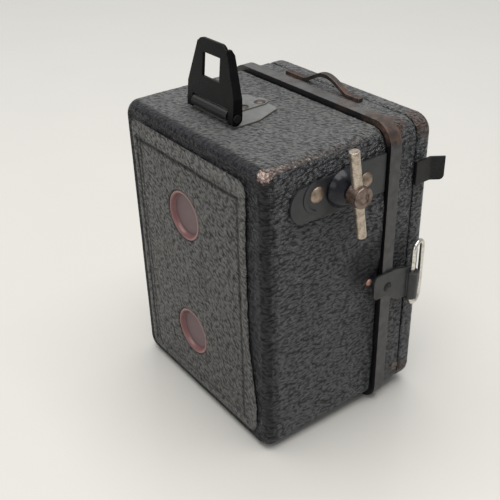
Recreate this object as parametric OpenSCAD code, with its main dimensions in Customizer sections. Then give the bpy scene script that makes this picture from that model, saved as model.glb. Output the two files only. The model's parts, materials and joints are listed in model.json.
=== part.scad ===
// Small metal roll-film box camera with a folding frame finder.
// Frame: +Z up, the lens looks along -Y, the winding key is on the -X side.
// x = 0 is the middle of the body, y = 0 is the parting plane of the two
// halves inside the rim band, z = 0 is the underside of the rim band.

/* [Body] */
// Width of the covered body across X
body_w = 59.8; // [58.6:0.2:61]
// Height of the covered body
body_h = 80; // [79:0.5:82]
// Parting plane to the back face
rear_d = 38.8; // [38.4:0.2:40]
// Parting plane to the front face
front_d = 13.4; // [13:0.1:14]
// Radius of the four long edges
edge_r = 4.4; // [3.6:0.2:5]
// Radius around the back face
back_r = 3; // [2.6:0.1:3.4]
// Radius around the front face
front_r = 2.6; // [2.5:0.1:3.2]
// Thickness of the leatherette with its glue
leather_t = 0.7; // [0.5:0.1:0.8]
// Thickness of the sheet steel
metal_t = 0.7; // [0.6:0.1:0.8]

/* [Rim band] */
// How far the rim stands out beyond the body
rim_proud = 1.4; // [1.2:0.1:1.6]
// Front edge of the rim band
rim_y0 = -0.9; // [-1.2:0.1:-0.8]
// Rear edge of the rim band
rim_y1 = 2.5; // [2.2:0.1:2.6]

/* [Optics] */
// Sideways place of the lens, film and finder
opt_x = 3.1; // [2.5:0.1:3.5]
// Radius of the outside of the lens barrel
lens_barrel_r = 7; // [6.5:0.1:7.5]
// How far the barrel stands out of the front
lens_proud = 3; // [2:0.5:4]
// Film gate width
gate_w = 40; // [38:1:40]
// Film gate height
gate_h = 30; // [28:1:30]

/* [Winding key] */
// Key axis, along Y
key_y = 16.7; // [16.2:0.1:17.2]
// Key axis, height
key_z = 71.7; // [71:0.1:71.8]
// Length of the cross bar
bar_len = 22.6; // [20:0.2:26]
// Lean of the cross bar from upright
bar_tilt = 8.7; // [0:0.1:20]

/* [Finder] */
// Finder hinge axis, along Y
fin_y = 28.3; // [28:0.1:28.6]
// Finder hinge axis, height
fin_z = 83.8; // [83.7:0.1:84.2]
// Forward lean of the raised finder
fin_tilt = 6; // [0:1:8]
// Half width of the finder at its foot
fin_hw = 9.5; // [9:0.1:10]
// Height of the finder above its hinge
fin_h = 16; // [15:0.1:17]

/* [Front hinge] */
// Hinge axis, along X
hinge_x = 32.4; // [32.2:0.1:32.8]
// Hinge axis, along Y
hinge_y = 4.3; // [4.3:0.1:4.6]

/* [Hidden] */
$fn = 64;

hx = body_w / 2;                       // half width, covered
z0 = rim_proud;                        // underside of the covered body
z1 = rim_proud + body_h;               // top of the covered body
zc = (z0 + z1) / 2;                    // optical axis height
skin = leather_t + 0.05;               // leather plus its glue line
seam_y = -7.6;                         // joint of front section and cap
win_z = [57.8, 21.9];                  // red windows
spool_z0 = z0 + z1 - key_z;            // supply spool axis
film_w = 49;                           // spool length between the cheeks
cheek_x0 = opt_x - film_w / 2 - 0.1;   // inner face of the left cheek
cheek_x1 = opt_x + film_w / 2 - 0.1;   // inner face of the right cheek
lever_px = -12;                        // release lever pivot
lever_pz = 60;
disc_x = opt_x;                        // shutter disc pivot
disc_z = zc - 11;
plate_x = -hx - 0.6;                   // outer face of the key plate
rim_x = hx + rim_proud;                // outer face of the rim

// ---------- helpers ----------
// extrude a drawing made in X and Z between two Y planes
module xz(ya, yb) translate([0, yb, 0]) rotate([90, 0, 0]) linear_extrude(yb - ya) children();
// extrude a drawing made in Y and Z between two X planes
module yz(xa, xb) translate([xa, 0, 0]) rotate([90, 0, 90]) linear_extrude(xb - xa) children();
// rounded rectangle from corner a to corner b
module rrect(a, b, r) {
  translate([a[0] + r, a[1]]) square([b[0] - a[0] - 2 * r, b[1] - a[1]]);
  translate([a[0], a[1] + r]) square([b[0] - a[0], b[1] - a[1] - 2 * r]);
  for (x = [a[0] + r, b[0] - r], z = [a[1] + r, b[1] - r]) translate([x, z]) circle(r);
}
// rectangle whose two corners on the high side of the first axis are rounded
module rhigh(a, b, r) {
  square_ab(a, [b[0] - r, b[1]]);
  square_ab([a[0], a[1] + r], [b[0], b[1] - r]);
  for (z = [a[1] + r, b[1] - r]) translate([b[0] - r, z]) circle(r);
}
module square_ab(a, b) translate(a) square([b[0] - a[0], b[1] - a[1]]);
// body cross-section, inset by i
module section(i) rrect([-hx + i, z0 + i], [hx - i, z1 - i], max(edge_r - i, 0.6));
// rear half, inset by i, from y = ya to the back
module rear_block(i, ya) intersection() {
  xz(ya, rear_d - i) section(i);
  yz(-hx - 1, hx + 1) rhigh([ya - 1, z0 + i], [rear_d - i, z1 - i], back_r - min(i, back_r - 1));
  translate([0, 0, z0 - 1]) linear_extrude(body_h + 2) rotate(90)
    rhigh([ya - 1, -hx + i], [rear_d - i, hx - i], back_r - min(i, back_r - 1));
}
// front cap, inset by i, from the front face to y = yb
module front_block(i, yb) intersection() {
  xz(-front_d + i, yb) section(i);
  mirror([0, 1, 0]) yz(-hx - 1, hx + 1) rhigh([-yb - 1, z0 + i], [front_d - i, z1 - i], front_r - min(i, front_r - 1));
  translate([0, 0, z0 - 1]) linear_extrude(body_h + 2) rotate(-90)
    rhigh([-yb - 1, -hx + i], [front_d - i, hx - i], front_r - min(i, front_r - 1));
}
// cylinder along X, between two planes
module cx(xa, xb, y, z, r) translate([xa, y, z]) rotate([0, 90, 0]) cylinder(h = xb - xa, r = r);
// cylinder along Y, between two planes
module cy(ya, yb, x, z, r) translate([x, yb, z]) rotate([90, 0, 0]) cylinder(h = yb - ya, r = r);
// cylinder along Z, between two planes
module cz(za, zb, x, y, r) translate([x, y, za]) cylinder(h = zb - za, r = r);
module box(a, b) translate(a) cube(b - a);
// domed rivet head of radius r and height h, rising along +Z from the origin
module dome(r, h) rotate_extrude() intersection() {
  translate([0, h - (r * r + h * h) / (2 * h)]) circle((r * r + h * h) / (2 * h));
  square([r, h]);
}
// round wire bent along a list of points
module wire(path, r, n = 8) {
  m = len(path);
  function unit(v) = v / norm(v);
  function tang(i) = unit(path[min(i + 1, m - 1)] - path[max(i - 1, 0)]);
  up = [0.13, 0.31, 0.94];
  pts = [for (i = [0:m - 1]) let (t = tang(i), a = unit(cross(t, up)), b = cross(t, a))
    for (k = [0:n - 1]) path[i] + r * cos(360 * k / n) * a + r * sin(360 * k / n) * b];
  faces = concat([[for (k = [n - 1:-1:0]) k]],
    [for (i = [0:m - 2], k = [0:n - 1]) [i * n + k, i * n + (k + 1) % n, (i + 1) * n + (k + 1) % n]],
    [for (i = [0:m - 2], k = [0:n - 1]) [i * n + k, (i + 1) * n + (k + 1) % n, (i + 1) * n + k]],
    [[for (k = [0:n - 1]) (m - 1) * n + k]]);
  polyhedron(points = pts, faces = [for (f = faces) [for (j = [len(f) - 1:-1:0]) f[j]]], convexity = 6);
}

// ---------- rear half: casing ----------
module rear_shell() color([0.16, 0.16, 0.17]) difference() {
  rear_block(skin, 0.1);
  rear_block(skin + metal_t, -2);
  // red window openings
  for (z = win_z) cy(rear_d - 3, rear_d + 1, opt_x, z, 6.8);
  // key bush
  cx(-hx - 1, -hx + 3, key_y, key_z, 3.15);
  // key plate rivets
  cx(-hx - 1, -hx + 3, key_y + 7.4, key_z + 0.5, 1.02);
  cx(-hx - 1, -hx + 3, key_y - 7.5, key_z - 0.5, 1.02);
  // latch stud
  cx(-hx - 1, -hx + 3, 5.8, 41.1, 0.62);
  // finder base rivets
  for (y = [14.9, 20.3]) cz(z1 - 3, z1 + 1, opt_x - 0.8, y, 0.82);
  // hinge leaf rivets
  for (z = [zc - 11, zc + 11]) cx(hx - 3, hx + 1, 10, z, 0.82);
}

module leather_wrap() color([0.11, 0.11, 0.12]) difference() {
  rear_block(0, rim_y1 + 0.5);
  rear_block(leather_t, rim_y1 - 2);
  // opening that the back panel fills
  xz(rear_d - 1.2, rear_d + 1) rrect([-23.1, 4.9], [25.9, 77.1], 2.6);
  cx(-hx - 1, -hx + 3, key_y, key_z, 3.15);
  cx(-hx - 1, -hx + 3, key_y + 7.4, key_z + 0.5, 1.02);
  cx(-hx - 1, -hx + 3, key_y - 7.5, key_z - 0.5, 1.02);
  cx(-hx - 1, -hx + 3, 5.8, 41.1, 0.62);
  for (y = [14.9, 20.3]) cz(z1 - 3, z1 + 1, opt_x - 0.8, y, 0.82);
  for (z = [zc - 11, zc + 11]) cx(hx - 3, hx + 1, 10, z, 0.82);
}

module back_panel() color([0.14, 0.14, 0.14]) difference() {
  xz(rear_d - leather_t, rear_d + 0.1) rrect([-23, 5], [25.8, 77], 2.5);
  // embossed border line
  difference() {
    xz(rear_d - 0.15, rear_d + 1) rrect([-20.6, 7.4], [24.2, 72.4], 1.5);
    xz(rear_d - 1, rear_d + 2) rrect([-20, 8], [23.6, 71.8], 1.2);
  }
  for (z = win_z) cy(rear_d - 3, rear_d + 1, opt_x, z, 6.8);
}

// dished celluloid window with a step around its flat floor
module red_window(z) color([0.52, 0.33, 0.33]) translate([opt_x, rear_d, z]) rotate([-90, 0, 0]) rotate_extrude()
  polygon([[0, -1.95], [7.6, -1.95], [7.6, -1.5], [6.75, -1.5], [6.75, -0.15], [6.35, -0.15],
           [5.7, -0.55], [5.1, -0.75], [5, -1.35], [0, -1.35]]);
module red_window_upper() red_window(win_z[0]);
module red_window_lower() red_window(win_z[1]);

// ---------- rear half: winding key ----------
module key_plate() color([0.17, 0.17, 0.18]) difference() {
  union() {
    yz(plate_x, -hx) difference() {
      union() {
        square_ab([3.0, 66.2], [27, 76.2]);
        translate([26.9, 70.75]) intersection() { circle(4.9); square_ab([0, -4.55], [5, 4.9]); }
      }
      // the top edge falls away towards the rounded end
      polygon([[3, 77], [12, 76.3], [27, 75.2], [33, 75], [33, 80], [3, 80]]);
    }
    // two pressed steps beside the rounded end
    yz(plate_x - 0.18, plate_x) difference() {
      translate([key_y + 7.4, key_z + 0.2]) circle(4.1);
      translate([key_y + 6.8, key_z + 0.2]) circle(3.5);
      square_ab([0, 60], [key_y + 7.9, 80]);
    }
  }
  cx(-hx - 2, -hx + 1, key_y, key_z, 3.15);
  cx(-hx - 2, -hx + 1, key_y + 7.4, key_z + 0.5, 1.02);
  cx(-hx - 2, -hx + 1, key_y - 7.5, key_z - 0.5, 1.02);
}
module key_rivets() color([0.45, 0.36, 0.3])
  for (p = [[key_y + 7.4, key_z + 0.5], [key_y - 7.5, key_z - 0.5]]) {
    cx(plate_x, -hx + 1.5, p[0], p[1], 1);
    translate([plate_x, p[0], p[1]]) rotate([0, -90, 0]) dome(2, 1);
    cx(-hx + 1.46, -hx + 2.1, p[0], p[1], 1.6);
  }

// domed bush the key shaft turns in
module key_bush() color([0.05, 0.05, 0.06]) difference() {
  union() {
    translate([plate_x, key_y, key_z]) rotate([0, -90, 0]) rotate_extrude()
      intersection() {
        union() {
          square_ab([0, 0], [4.6, 0.8]);
          translate([0, -1.34]) circle(5.1);
        }
        square_ab([0, 0], [4.75, 3.65]);
      }
    cx(plate_x - 0.1, -hx + 1.9, key_y, key_z, 3.1);
  }
  cx(-hx - 6, -hx + 4, key_y, key_z, 1.65);
}

// thrust collar the key spring pushes on
module key_collar() color([0.6, 0.55, 0.4]) difference() {
  cx(cheek_x0 - 1.5, cheek_x0 - 0.8, key_y, key_z, 3.4);
  cx(cheek_x0 - 3, cheek_x0, key_y, key_z, 1.68);
}
module key_spring() color([0.6, 0.6, 0.62])
  wire([for (i = [0:72]) let (t = i / 72, a = 360 * 4 * t)
    [-hx + 2.3 + t * (cheek_x0 - 1.9 + hx - 2.3), key_y + 2.5 * cos(a), key_z + 2.5 * sin(a)]], 0.25, 6);

// shaft, outer hub and inner clutch blade in one turned piece
module key_shaft() color([0.42, 0.34, 0.28]) difference() {
  union() {
    // hub with a dished end
    translate([plate_x - 3.85, key_y, key_z]) rotate([0, -90, 0]) rotate_extrude()
      difference() {
        union() { square_ab([0, 0], [2.6, 3.0]); square_ab([0, 0], [2.3, 3.3]); translate([2.3, 3.0]) intersection() { circle(0.3); square(1); } }
        square_ab([0, 3.15], [1.5, 4]);
      }
    cx(plate_x - 4, cheek_x0 + 2.2, key_y, key_z, 1.6);
    // fixed shoulder that carries the collar
    cx(cheek_x0 - 0.75, cheek_x0 + 0.1, key_y, key_z, 2.4);
    // clutch blade in the spool's slot
    translate([0, key_y, key_z]) box([cheek_x0 + 0.05, -2.8, -0.5], [cheek_x0 + 2.2, 2.8, 0.5]);
  }
  // cross hole for the bar
  translate([plate_x - 5.1, key_y, key_z]) rotate([-bar_tilt, 0, 0]) translate([0, 0, -5]) cylinder(h = 10, r = 1.26);
}
module key_bar() color([0.6, 0.55, 0.5])
  translate([plate_x - 5.1, key_y, key_z]) rotate([-bar_tilt, 0, 0]) rotate_extrude() {
    square_ab([0, -bar_len / 2], [1.05, bar_len / 2]);
    square_ab([0, -bar_len / 2 + 0.2], [1.25, bar_len / 2 - 0.2]);
    for (s = [-1, 1]) translate([1.05, s * (bar_len / 2 - 0.2)]) intersection() { circle(0.2); translate([0, -1]) square([1, 2]); }
  }

module takeup_spool() color([0.3, 0.2, 0.14]) difference() {
  union() {
    cx(cheek_x0 + 0.25, cheek_x1 - 0.25, key_y, key_z, 3);
    cx(cheek_x0 + 0.25, cheek_x0 + 1.05, key_y, key_z, 6.6);
    cx(cheek_x1 - 1.05, cheek_x1 - 0.25, key_y, key_z, 6.6);
  }
  cx(cheek_x0 - 1, cheek_x1 + 1, key_y, key_z, 2.2);
  // clutch slot at the key end
  translate([0, key_y, key_z]) box([cheek_x0 - 1, -4, -0.65], [cheek_x0 + 2.7, 4, 0.65]);
  // slit for the film's leader
  translate([opt_x, key_y, key_z]) box([-16, 0, -0.4], [16, 4, 0.4]);
}

// ---------- rear half: finder ----------
module finder_base() color([0.32, 0.33, 0.33]) difference() {
  union() {
    translate([0, 0, z1]) linear_extrude(0.35) union() {
      polygon([[opt_x - 9.5, fin_y - 0.1], [opt_x - 9.5, 21.5], [opt_x - 6.9, 15.2], [opt_x - 5.4, 13.8],
               [opt_x + 5.4, 13.8], [opt_x + 6.9, 15.2], [opt_x + 9.5, 21.5], [opt_x + 9.5, fin_y - 0.1]]);
      for (s = [-1, 1]) translate([opt_x + s * 4.9, 15.3]) circle(2);
      square_ab([opt_x - 4.9, 13.3], [opt_x + 4.9, 15]);
    }
    // sheet turned up and rolled around the pin
    box([opt_x - 7.2, fin_y - 1.5, z1], [opt_x + 7.2, fin_y - 0.95, fin_z]);
    cx(opt_x - 7.2, opt_x + 7.2, fin_y, fin_z, 1.5);
  }
  cx(opt_x - 20, opt_x + 20, fin_y, fin_z, 0.61);
  for (y = [14.9, 20.3]) cz(z1 - 1, z1 + 1, opt_x - 0.8, y, 0.82);
}
module finder_rivets() color([0.4, 0.34, 0.28]) for (y = [14.9, 20.3]) {
  cz(z1 - 2.1, z1 + (y < 17 ? 0.7 : 0.35), opt_x - 0.8, y, 0.8);
  translate([opt_x - 0.8, y, z1 + (y < 17 ? 0.7 : 0.35)]) dome(1.5, 0.45);
  cz(z1 - 2.1, z1 - 1.5, opt_x - 0.8, y, 1.3);
}
// flat spring that snaps the finder up and down
module finder_spring() color([0.35, 0.36, 0.37]) difference() {
  translate([0, 0, z1 + 0.35]) linear_extrude(0.35) union() {
    square_ab([opt_x - 2.6, 15], [opt_x + 2.4, 26.6]);
    translate([opt_x - 0.1, 15]) intersection() { circle(2.5); square_ab([-3, -3], [3, 0]); }
  }
  cz(z1 - 1, z1 + 2, opt_x - 0.8, 14.9, 0.82);
  cz(z1 - 1, z1 + 2, opt_x - 0.8, 20.3, 1.7);
}
module finder_pin() color([0.3, 0.3, 0.31]) {
  cx(opt_x - fin_hw - 0.35, opt_x + fin_hw + 0.35, fin_y, fin_z, 0.6);
  for (s = [-1, 1]) cx(opt_x + s * (fin_hw + 0.3) - 0.2, opt_x + s * (fin_hw + 0.3) + 0.2, fin_y, fin_z, 0.95);
}
// raised frame: a stamped plate with folded sides
module finder_frame() color([0.04, 0.04, 0.045]) translate([opt_x, fin_y, fin_z]) rotate([fin_tilt, 0, 0]) {
  w0 = fin_hw; w1 = 5.8; zt = 4.5; h = fin_h;
  r = 2.4;
  difference() {
    union() {
      // plate
      xz(0.3, 1.1) difference() {
        union() {
          polygon([[-w0, -1.6], [w0, -1.6], [w0, zt], [w1 + 0.25, h - r], [w1 - r, h], [-w1 + r, h], [-w1 - 0.25, h - r], [-w0, zt]]);
          for (s = [-1, 1]) translate([s * (w1 + 0.2 - r), h - r]) circle(r);
        }
        // sight window
        square_ab([-3.55, 7.0], [3.55, 12.75]);
        // room for the rolled knuckle
        square_ab([-7.45, -3], [7.45, 1.85]);
      }
      // folded sides, following the plate's outline
      for (s = [-1, 1]) {
        intersection() {
          union() {
            xz(-1.75, 1.1) polygon([[s * w0, -2.2], [s * w0, zt], [s * (w0 - 0.8), zt], [s * (w0 - 0.8), -2.2]]);
            xz(-1.75, 1.1) polygon([[s * w0, zt], [s * (w1 + 0.05), h - 1], [s * (w1 - 0.75), h - 1], [s * (w0 - 0.8), zt]]);
          }
          yz(-w0 - 1, w0 + 1) union() {
            circle(1.9);
            polygon([[-1.75, 0.6], [1.1, 0], [1.1, h - 0.2], [0.5, h], [-0.2, h - 0.5], [-1.2, h - 2.2], [-1.45, zt]]);
            square_ab([0.3, -1.55], [1.1, 1]);
          }
        }
      }
    }
    cx(-20, 20, 0, 0, 0.65);
  }
}

module latch_stud() color([0.42, 0.26, 0.2]) {
  cx(-hx - 0.1, -hx + 1.6, 5.8, 41.1, 0.6);
  translate([-hx, 5.8, 41.1]) rotate([0, -90, 0]) dome(0.95, 0.7);
}

// ---------- rear half: film carrier ----------
module cheek_shape(gap) difference() {
  polygon([[0.8, z0 + gap + 4.2], [4, z0 + gap], [26, z0 + gap], [32.6, z0 + 9], [33.4, z0 + 18], [33.4, z1 - 18], [32.6, z1 - 9],
           [26, z1 - gap], [4, z1 - gap], [0.8, z1 - gap - 4.2]]);
  // lightening window beside the cone
  rrect([6, zc - 12], [26, zc + 12], 3);
}
module carrier_cheek_left() color([0.1, 0.1, 0.1]) difference() {
  yz(cheek_x0 - 0.6, cheek_x0) cheek_shape(1.8);
  cx(cheek_x0 - 2, cheek_x0 + 1, key_y, key_z, 3.1);
  cx(cheek_x0 - 2, cheek_x0 + 1, key_y, spool_z0, 2.2);
  cx(cheek_x0 - 2, cheek_x0 + 1, key_y, spool_z0 + 13, 0.82);
}
module carrier_cheek_right() color([0.1, 0.1, 0.1]) difference() {
  yz(cheek_x1, cheek_x1 + 0.6) cheek_shape(4.6);
  for (z = [key_z, spool_z0]) cx(cheek_x1 - 2, cheek_x1 + 1, key_y, z, 1.02);
}
module film_gate() color([0.09, 0.09, 0.09]) xz(32.8, 33.4) difference() {
  square_ab([cheek_x0, zc - 18.8], [cheek_x1, zc + 18.8]);
  rrect([opt_x - gate_w / 2, zc - gate_h / 2], [opt_x + gate_w / 2, zc + gate_h / 2], 0.5);
}
module guide_bars() color([0.55, 0.55, 0.56]) for (s = [-1, 1])
  cx(cheek_x0, cheek_x1, 32.1, zc + s * 20.4, 1.5);
module pyramid(g, ya, yb) hull() {
  translate([opt_x - 6 - g, ya, zc - 5 - g]) cube([12 + 2 * g, 0.01, 10 + 2 * g]);
  translate([opt_x - gate_w / 2 - g, yb - 0.01, zc - gate_h / 2 - g]) cube([gate_w + 2 * g, 0.01, gate_h + 2 * g]);
}
module light_cone() color([0.07, 0.07, 0.07]) difference() {
  pyramid(0.6, 0.8, 32.8);
  difference() { pyramid(0, 0.8, 32.8); }
  box([opt_x - 6, 0, zc - 5], [opt_x + 6, 1.2, zc + 5]);
  box([opt_x - gate_w / 2, 32.4, zc - gate_h / 2], [opt_x + gate_w / 2, 33.4, zc + gate_h / 2]);
}
module carrier_front() color([0.09, 0.09, 0.09]) xz(0.2, 0.8) difference() {
  square_ab([cheek_x0, zc - 16], [cheek_x1, zc + 16]);
  square_ab([opt_x - 6, zc - 5], [opt_x + 6, zc + 5]);
}
// stubs that carry the spools at the plain side
module spool_pins() color([0.6, 0.55, 0.4]) for (z = [key_z, spool_z0]) difference() {
  union() {
    cx(cheek_x1 - 3, cheek_x1, key_y, z, 2.12);
    cx(cheek_x1 - 0.2, cheek_x1 + 0.75, key_y, z, 1);
  }
  cx(cheek_x1 - 3.5, cheek_x1 - 2.4, key_y, z, 0.8);
}
// leaf spring with the stub that lets a full spool in and out
module supply_spring() color([0.55, 0.55, 0.56]) difference() {
  union() {
    yz(cheek_x0 - 1.0, cheek_x0 - 0.6) {
      square_ab([key_y - 2.5, spool_z0 - 1], [key_y + 2.5, spool_z0 + 14]);
      translate([key_y, spool_z0]) circle(3.2);
      translate([key_y, spool_z0 + 13.5]) circle(2.5);
    }
    cx(cheek_x0 - 0.7, cheek_x0 + 2.6, key_y, spool_z0, 2.1);
    cx(cheek_x0 - 1.3, cheek_x0 - 0.02, key_y, spool_z0 + 13, 0.8);
    cx(cheek_x0 - 1.4, cheek_x0 - 1.0, key_y, spool_z0 + 13, 1.4);
  }
  cx(cheek_x0 + 1.9, cheek_x0 + 3, key_y, spool_z0, 0.8);
}
module pressure_plate() color([0.12, 0.12, 0.12]) difference() {
  xz(34.4, 34.8) rrect([cheek_x0 + 1.5, zc - 26], [cheek_x1 - 1.5, zc + 26], 2);
  for (z = win_z) cy(33, 36, opt_x, z, 5.6);
}
// bowed strip between the back wall and the pressure plate
module pressure_spring() color([0.55, 0.55, 0.56])
  translate([opt_x - 5, 0, 0]) yz(0, 10) polygon(concat(
    [for (i = [0:12]) let (t = i / 12 * 2 - 1) [rear_d - skin - metal_t - 2.15 + 2.15 * t * t, zc - 2 + 9 * t]],
    [for (i = [12:-1:0]) let (t = i / 12 * 2 - 1) [rear_d - skin - metal_t - 2.5 + 2.15 * t * t, zc - 2 + 9 * t]]));

// ---------- front hinge ----------
knuckle = [[zc - 15, zc - 5.15], [zc - 4.85, zc + 4.85], [zc + 5.15, zc + 15]];
module hinge_rear_leaf() color([0.2, 0.2, 0.2]) difference() {
  union() {
    box([hx, hinge_y + 0.8, zc - 15], [hx + 0.7, 13, zc + 15]);
    for (k = [0, 2]) {
      box([hx, hinge_y + 0.8, knuckle[k][0]], [hinge_x, hinge_y + 1.5, knuckle[k][1]]);
      cz(knuckle[k][0], knuckle[k][1], hinge_x, hinge_y, 1.5);
    }
  }
  cz(zc - 20, zc + 20, hinge_x, hinge_y, 0.61);
  for (z = [zc - 11, zc + 11]) cx(hx - 1, hx + 2, 10, z, 0.82);
}
module hinge_rivets() color([0.42, 0.36, 0.3]) for (z = [zc - 11, zc + 11]) {
  cx(hx - 1.6, hx + 0.7, 10, z, 0.8);
  translate([hx + 0.7, 10, z]) rotate([0, 90, 0]) dome(1.5, 0.6);
}
module hinge_pin() color([0.5, 0.5, 0.5]) {
  cz(zc - 15.4, zc + 15.4, hinge_x, hinge_y, 0.6);
  for (s = [-1, 1]) cz(zc + s * 15.3 - 0.25, zc + s * 15.3 + 0.25, hinge_x, hinge_y, 0.9);
}
module hinge_front_leaf() color([0.2, 0.2, 0.2]) difference() {
  union() {
    box([rim_x, rim_y0 + 0.1, knuckle[1][0]], [rim_x + 0.7, hinge_y, knuckle[1][1]]);
    cz(knuckle[1][0], knuckle[1][1], hinge_x, hinge_y, 1.5);
  }
  cz(zc - 20, zc + 20, hinge_x, hinge_y, 0.65);
}

// ---------- front half: casing ----------
module rim() color([0.27, 0.26, 0.26]) difference() {
  xz(rim_y0, rim_y1) rrect([-rim_x, z0 - rim_proud], [rim_x, z1 + rim_proud], edge_r + rim_proud);
  // the rear half slides in here
  xz(rim_y0 + 0.7, rim_y1 + 1) section(0.2);
  // opening through the flange
  xz(rim_y0 - 1, rim_y0 + 1) section(5);
  // holes for the board screws
  for (x = [-1, 1], z = [-1, 1]) cy(rim_y0 - 1, rim_y0 + 2, x * 26.2, zc + z * 31, 0.62);
  // lug rivet
  cx(-rim_x - 1, -rim_x + 3, 1.1, 38.9, 1.02);
}
module front_section() color([0.2, 0.2, 0.2]) difference() {
  xz(seam_y, rim_y0) section(skin);
  xz(seam_y - 1, rim_y0 + 1) section(skin + metal_t);
  // notch for the release lever
  box([-hx - 1, seam_y - 0.1, 57.4], [-hx + 3, seam_y + 0.5, 73.2]);
  // slots for the strap loop's ends
  for (x = [15.1, -12.3]) box([x - 0.7, -5.15, z1 - 3], [x + 0.7, -4.05, z1 + 1]);
  // seam screws
  for (s = [-1, 1]) cx(s * hx - 3, s * hx + 3, -6.2, 8, 0.82);
}
module front_leather() color([0.11, 0.11, 0.12]) difference() {
  xz(seam_y + 0.2, rim_y0) section(0);
  xz(seam_y - 1, rim_y0 + 1) section(leather_t);
  box([-hx - 1, seam_y - 0.1, 57.4], [-hx + 3, seam_y + 0.5, 73.2]);
  for (x = [15.1, -12.3]) box([x - 0.7, -5.15, z1 - 3], [x + 0.7, -4.05, z1 + 1]);
  for (s = [-1, 1]) cx(s * hx - 3, s * hx + 3, -6.2, 8, 0.82);
}
module front_cap() color([0.22, 0.19, 0.17]) difference() {
  union() {
    front_block(skin, seam_y - 0.4);
    // neck that plugs into the front section
    xz(seam_y - 1, seam_y + 2.4) section(skin + metal_t + 0.05);
  }
  intersection() {
    front_block(skin + metal_t, seam_y + 6);
    xz(-20, 0) section(skin + 2 * metal_t);
  }
  xz(seam_y - 1.4, seam_y + 6) section(skin + 2 * metal_t + 0.05);
  // lens opening
  cy(-20, -5, opt_x, zc, 6.1);
  // slot for the release lever
  box([-hx - 1, seam_y - 0.7, 57.4], [-hx + 4, seam_y + 4, 73.2]);
  // lever pivot
  cy(-20, -5, lever_px, lever_pz, 1.02);
  for (s = [-1, 1]) cx(s * hx - 3, s * hx + 3, -6.2, 8, 0.82);
}
module cap_leather() color([0.1, 0.1, 0.11]) difference() {
  front_block(0, seam_y - 0.4);
  front_block(leather_t, seam_y + 2);
  cy(-20, -5, opt_x, zc, 9.1);
  box([-hx - 1, seam_y - 0.7, 57.4], [-hx + 3, seam_y + 1, 73.2]);
  // short slot low on the key side
  box([-hx - 1, seam_y - 1.3, 18.4], [-hx + 0.5, seam_y + 1, 23.7]);
}
module seam_screws() color([0.35, 0.3, 0.26]) for (s = [-1, 1]) {
  translate([s * hx, -6.2, 8]) rotate([0, s * 90, 0]) difference() {
    union() { dome(1.25, 0.5); translate([0, 0, -2.2]) cylinder(h = 2.3, r = 0.8); }
    translate([-0.2, -3, 0.25]) cube([0.4, 6, 2]);
  }
}

// ---------- front half: lens and shutter ----------
module lens_mount() color([0.12, 0.12, 0.12]) difference() {
  union() {
    cy(-front_d - 0.3, -front_d + skin, opt_x, zc, 9);
    cy(-front_d - lens_proud, -front_d + skin, opt_x, zc, lens_barrel_r);
    cy(-front_d, -front_d + skin + metal_t, opt_x, zc, 6);
  }
  cy(-20, -front_d + 0.4, opt_x, zc, 5.2);
  cy(-20, -5, opt_x, zc, 4.2);
}
// meniscus lens
module lens() color([0.75, 0.85, 0.9, 0.5]) translate([opt_x, -front_d + 0.4, zc]) rotate([90, 0, 0]) rotate_extrude()
  difference() {
    intersection() { translate([0, -8.2]) circle(10); square_ab([0, 0], [5.15, 3]); }
    translate([0, -12.6]) circle(13.2);
  }
module lens_ring() color([0.3, 0.3, 0.3]) difference() {
  cy(-front_d - lens_proud + 0.3, -front_d - 0.57, opt_x, zc, 5.15);
  cy(-30, 0, opt_x, zc, 4.1);
  translate([0, 0, zc]) box([opt_x - 6, -front_d - lens_proud, -0.4], [opt_x + 6, -front_d - lens_proud + 0.8, 0.4]);
}
module aperture_plate() color([0.08, 0.08, 0.08]) difference() {
  cy(-front_d + skin + metal_t, -front_d + skin + metal_t + 0.4, opt_x, zc, 8);
  cy(-20, 0, opt_x, zc, 2.3);
}
module shutter_board() color([0.3, 0.3, 0.31]) difference() {
  xz(rim_y0 - 0.8, rim_y0) section(skin + metal_t + 0.15);
  cy(-5, 1, opt_x, zc, 4.2);
  cy(-5, 1, disc_x, disc_z, 0.92);
  for (x = [-1, 1], z = [-1, 1]) cy(rim_y0 - 2, rim_y0 + 2, x * 26.2, zc + z * 31, 0.62);
}
module board_screws() color([0.5, 0.48, 0.44]) for (x = [-1, 1], z = [-1, 1]) translate([x * 26.2, 0, zc + z * 31]) difference() {
  union() {
    cy(rim_y0 - 1.2, rim_y0 + 0.75, 0, 0, 0.6);
    cy(rim_y0 + 0.7, rim_y0 + 1.3, 0, 0, 1.2);
  }
  box([-2, rim_y0 + 1.05, -0.18], [2, rim_y0 + 2, 0.18]);
}
module shutter_pivot() color([0.55, 0.5, 0.4]) {
  cy(rim_y0 - 3.0, rim_y0, disc_x, disc_z, 0.9);
  cy(rim_y0 - 1.6, rim_y0 - 0.8, disc_x, disc_z, 1.8);
  cy(rim_y0 - 2.8, rim_y0 - 2.3, disc_x, disc_z, 1.7);
}
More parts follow.
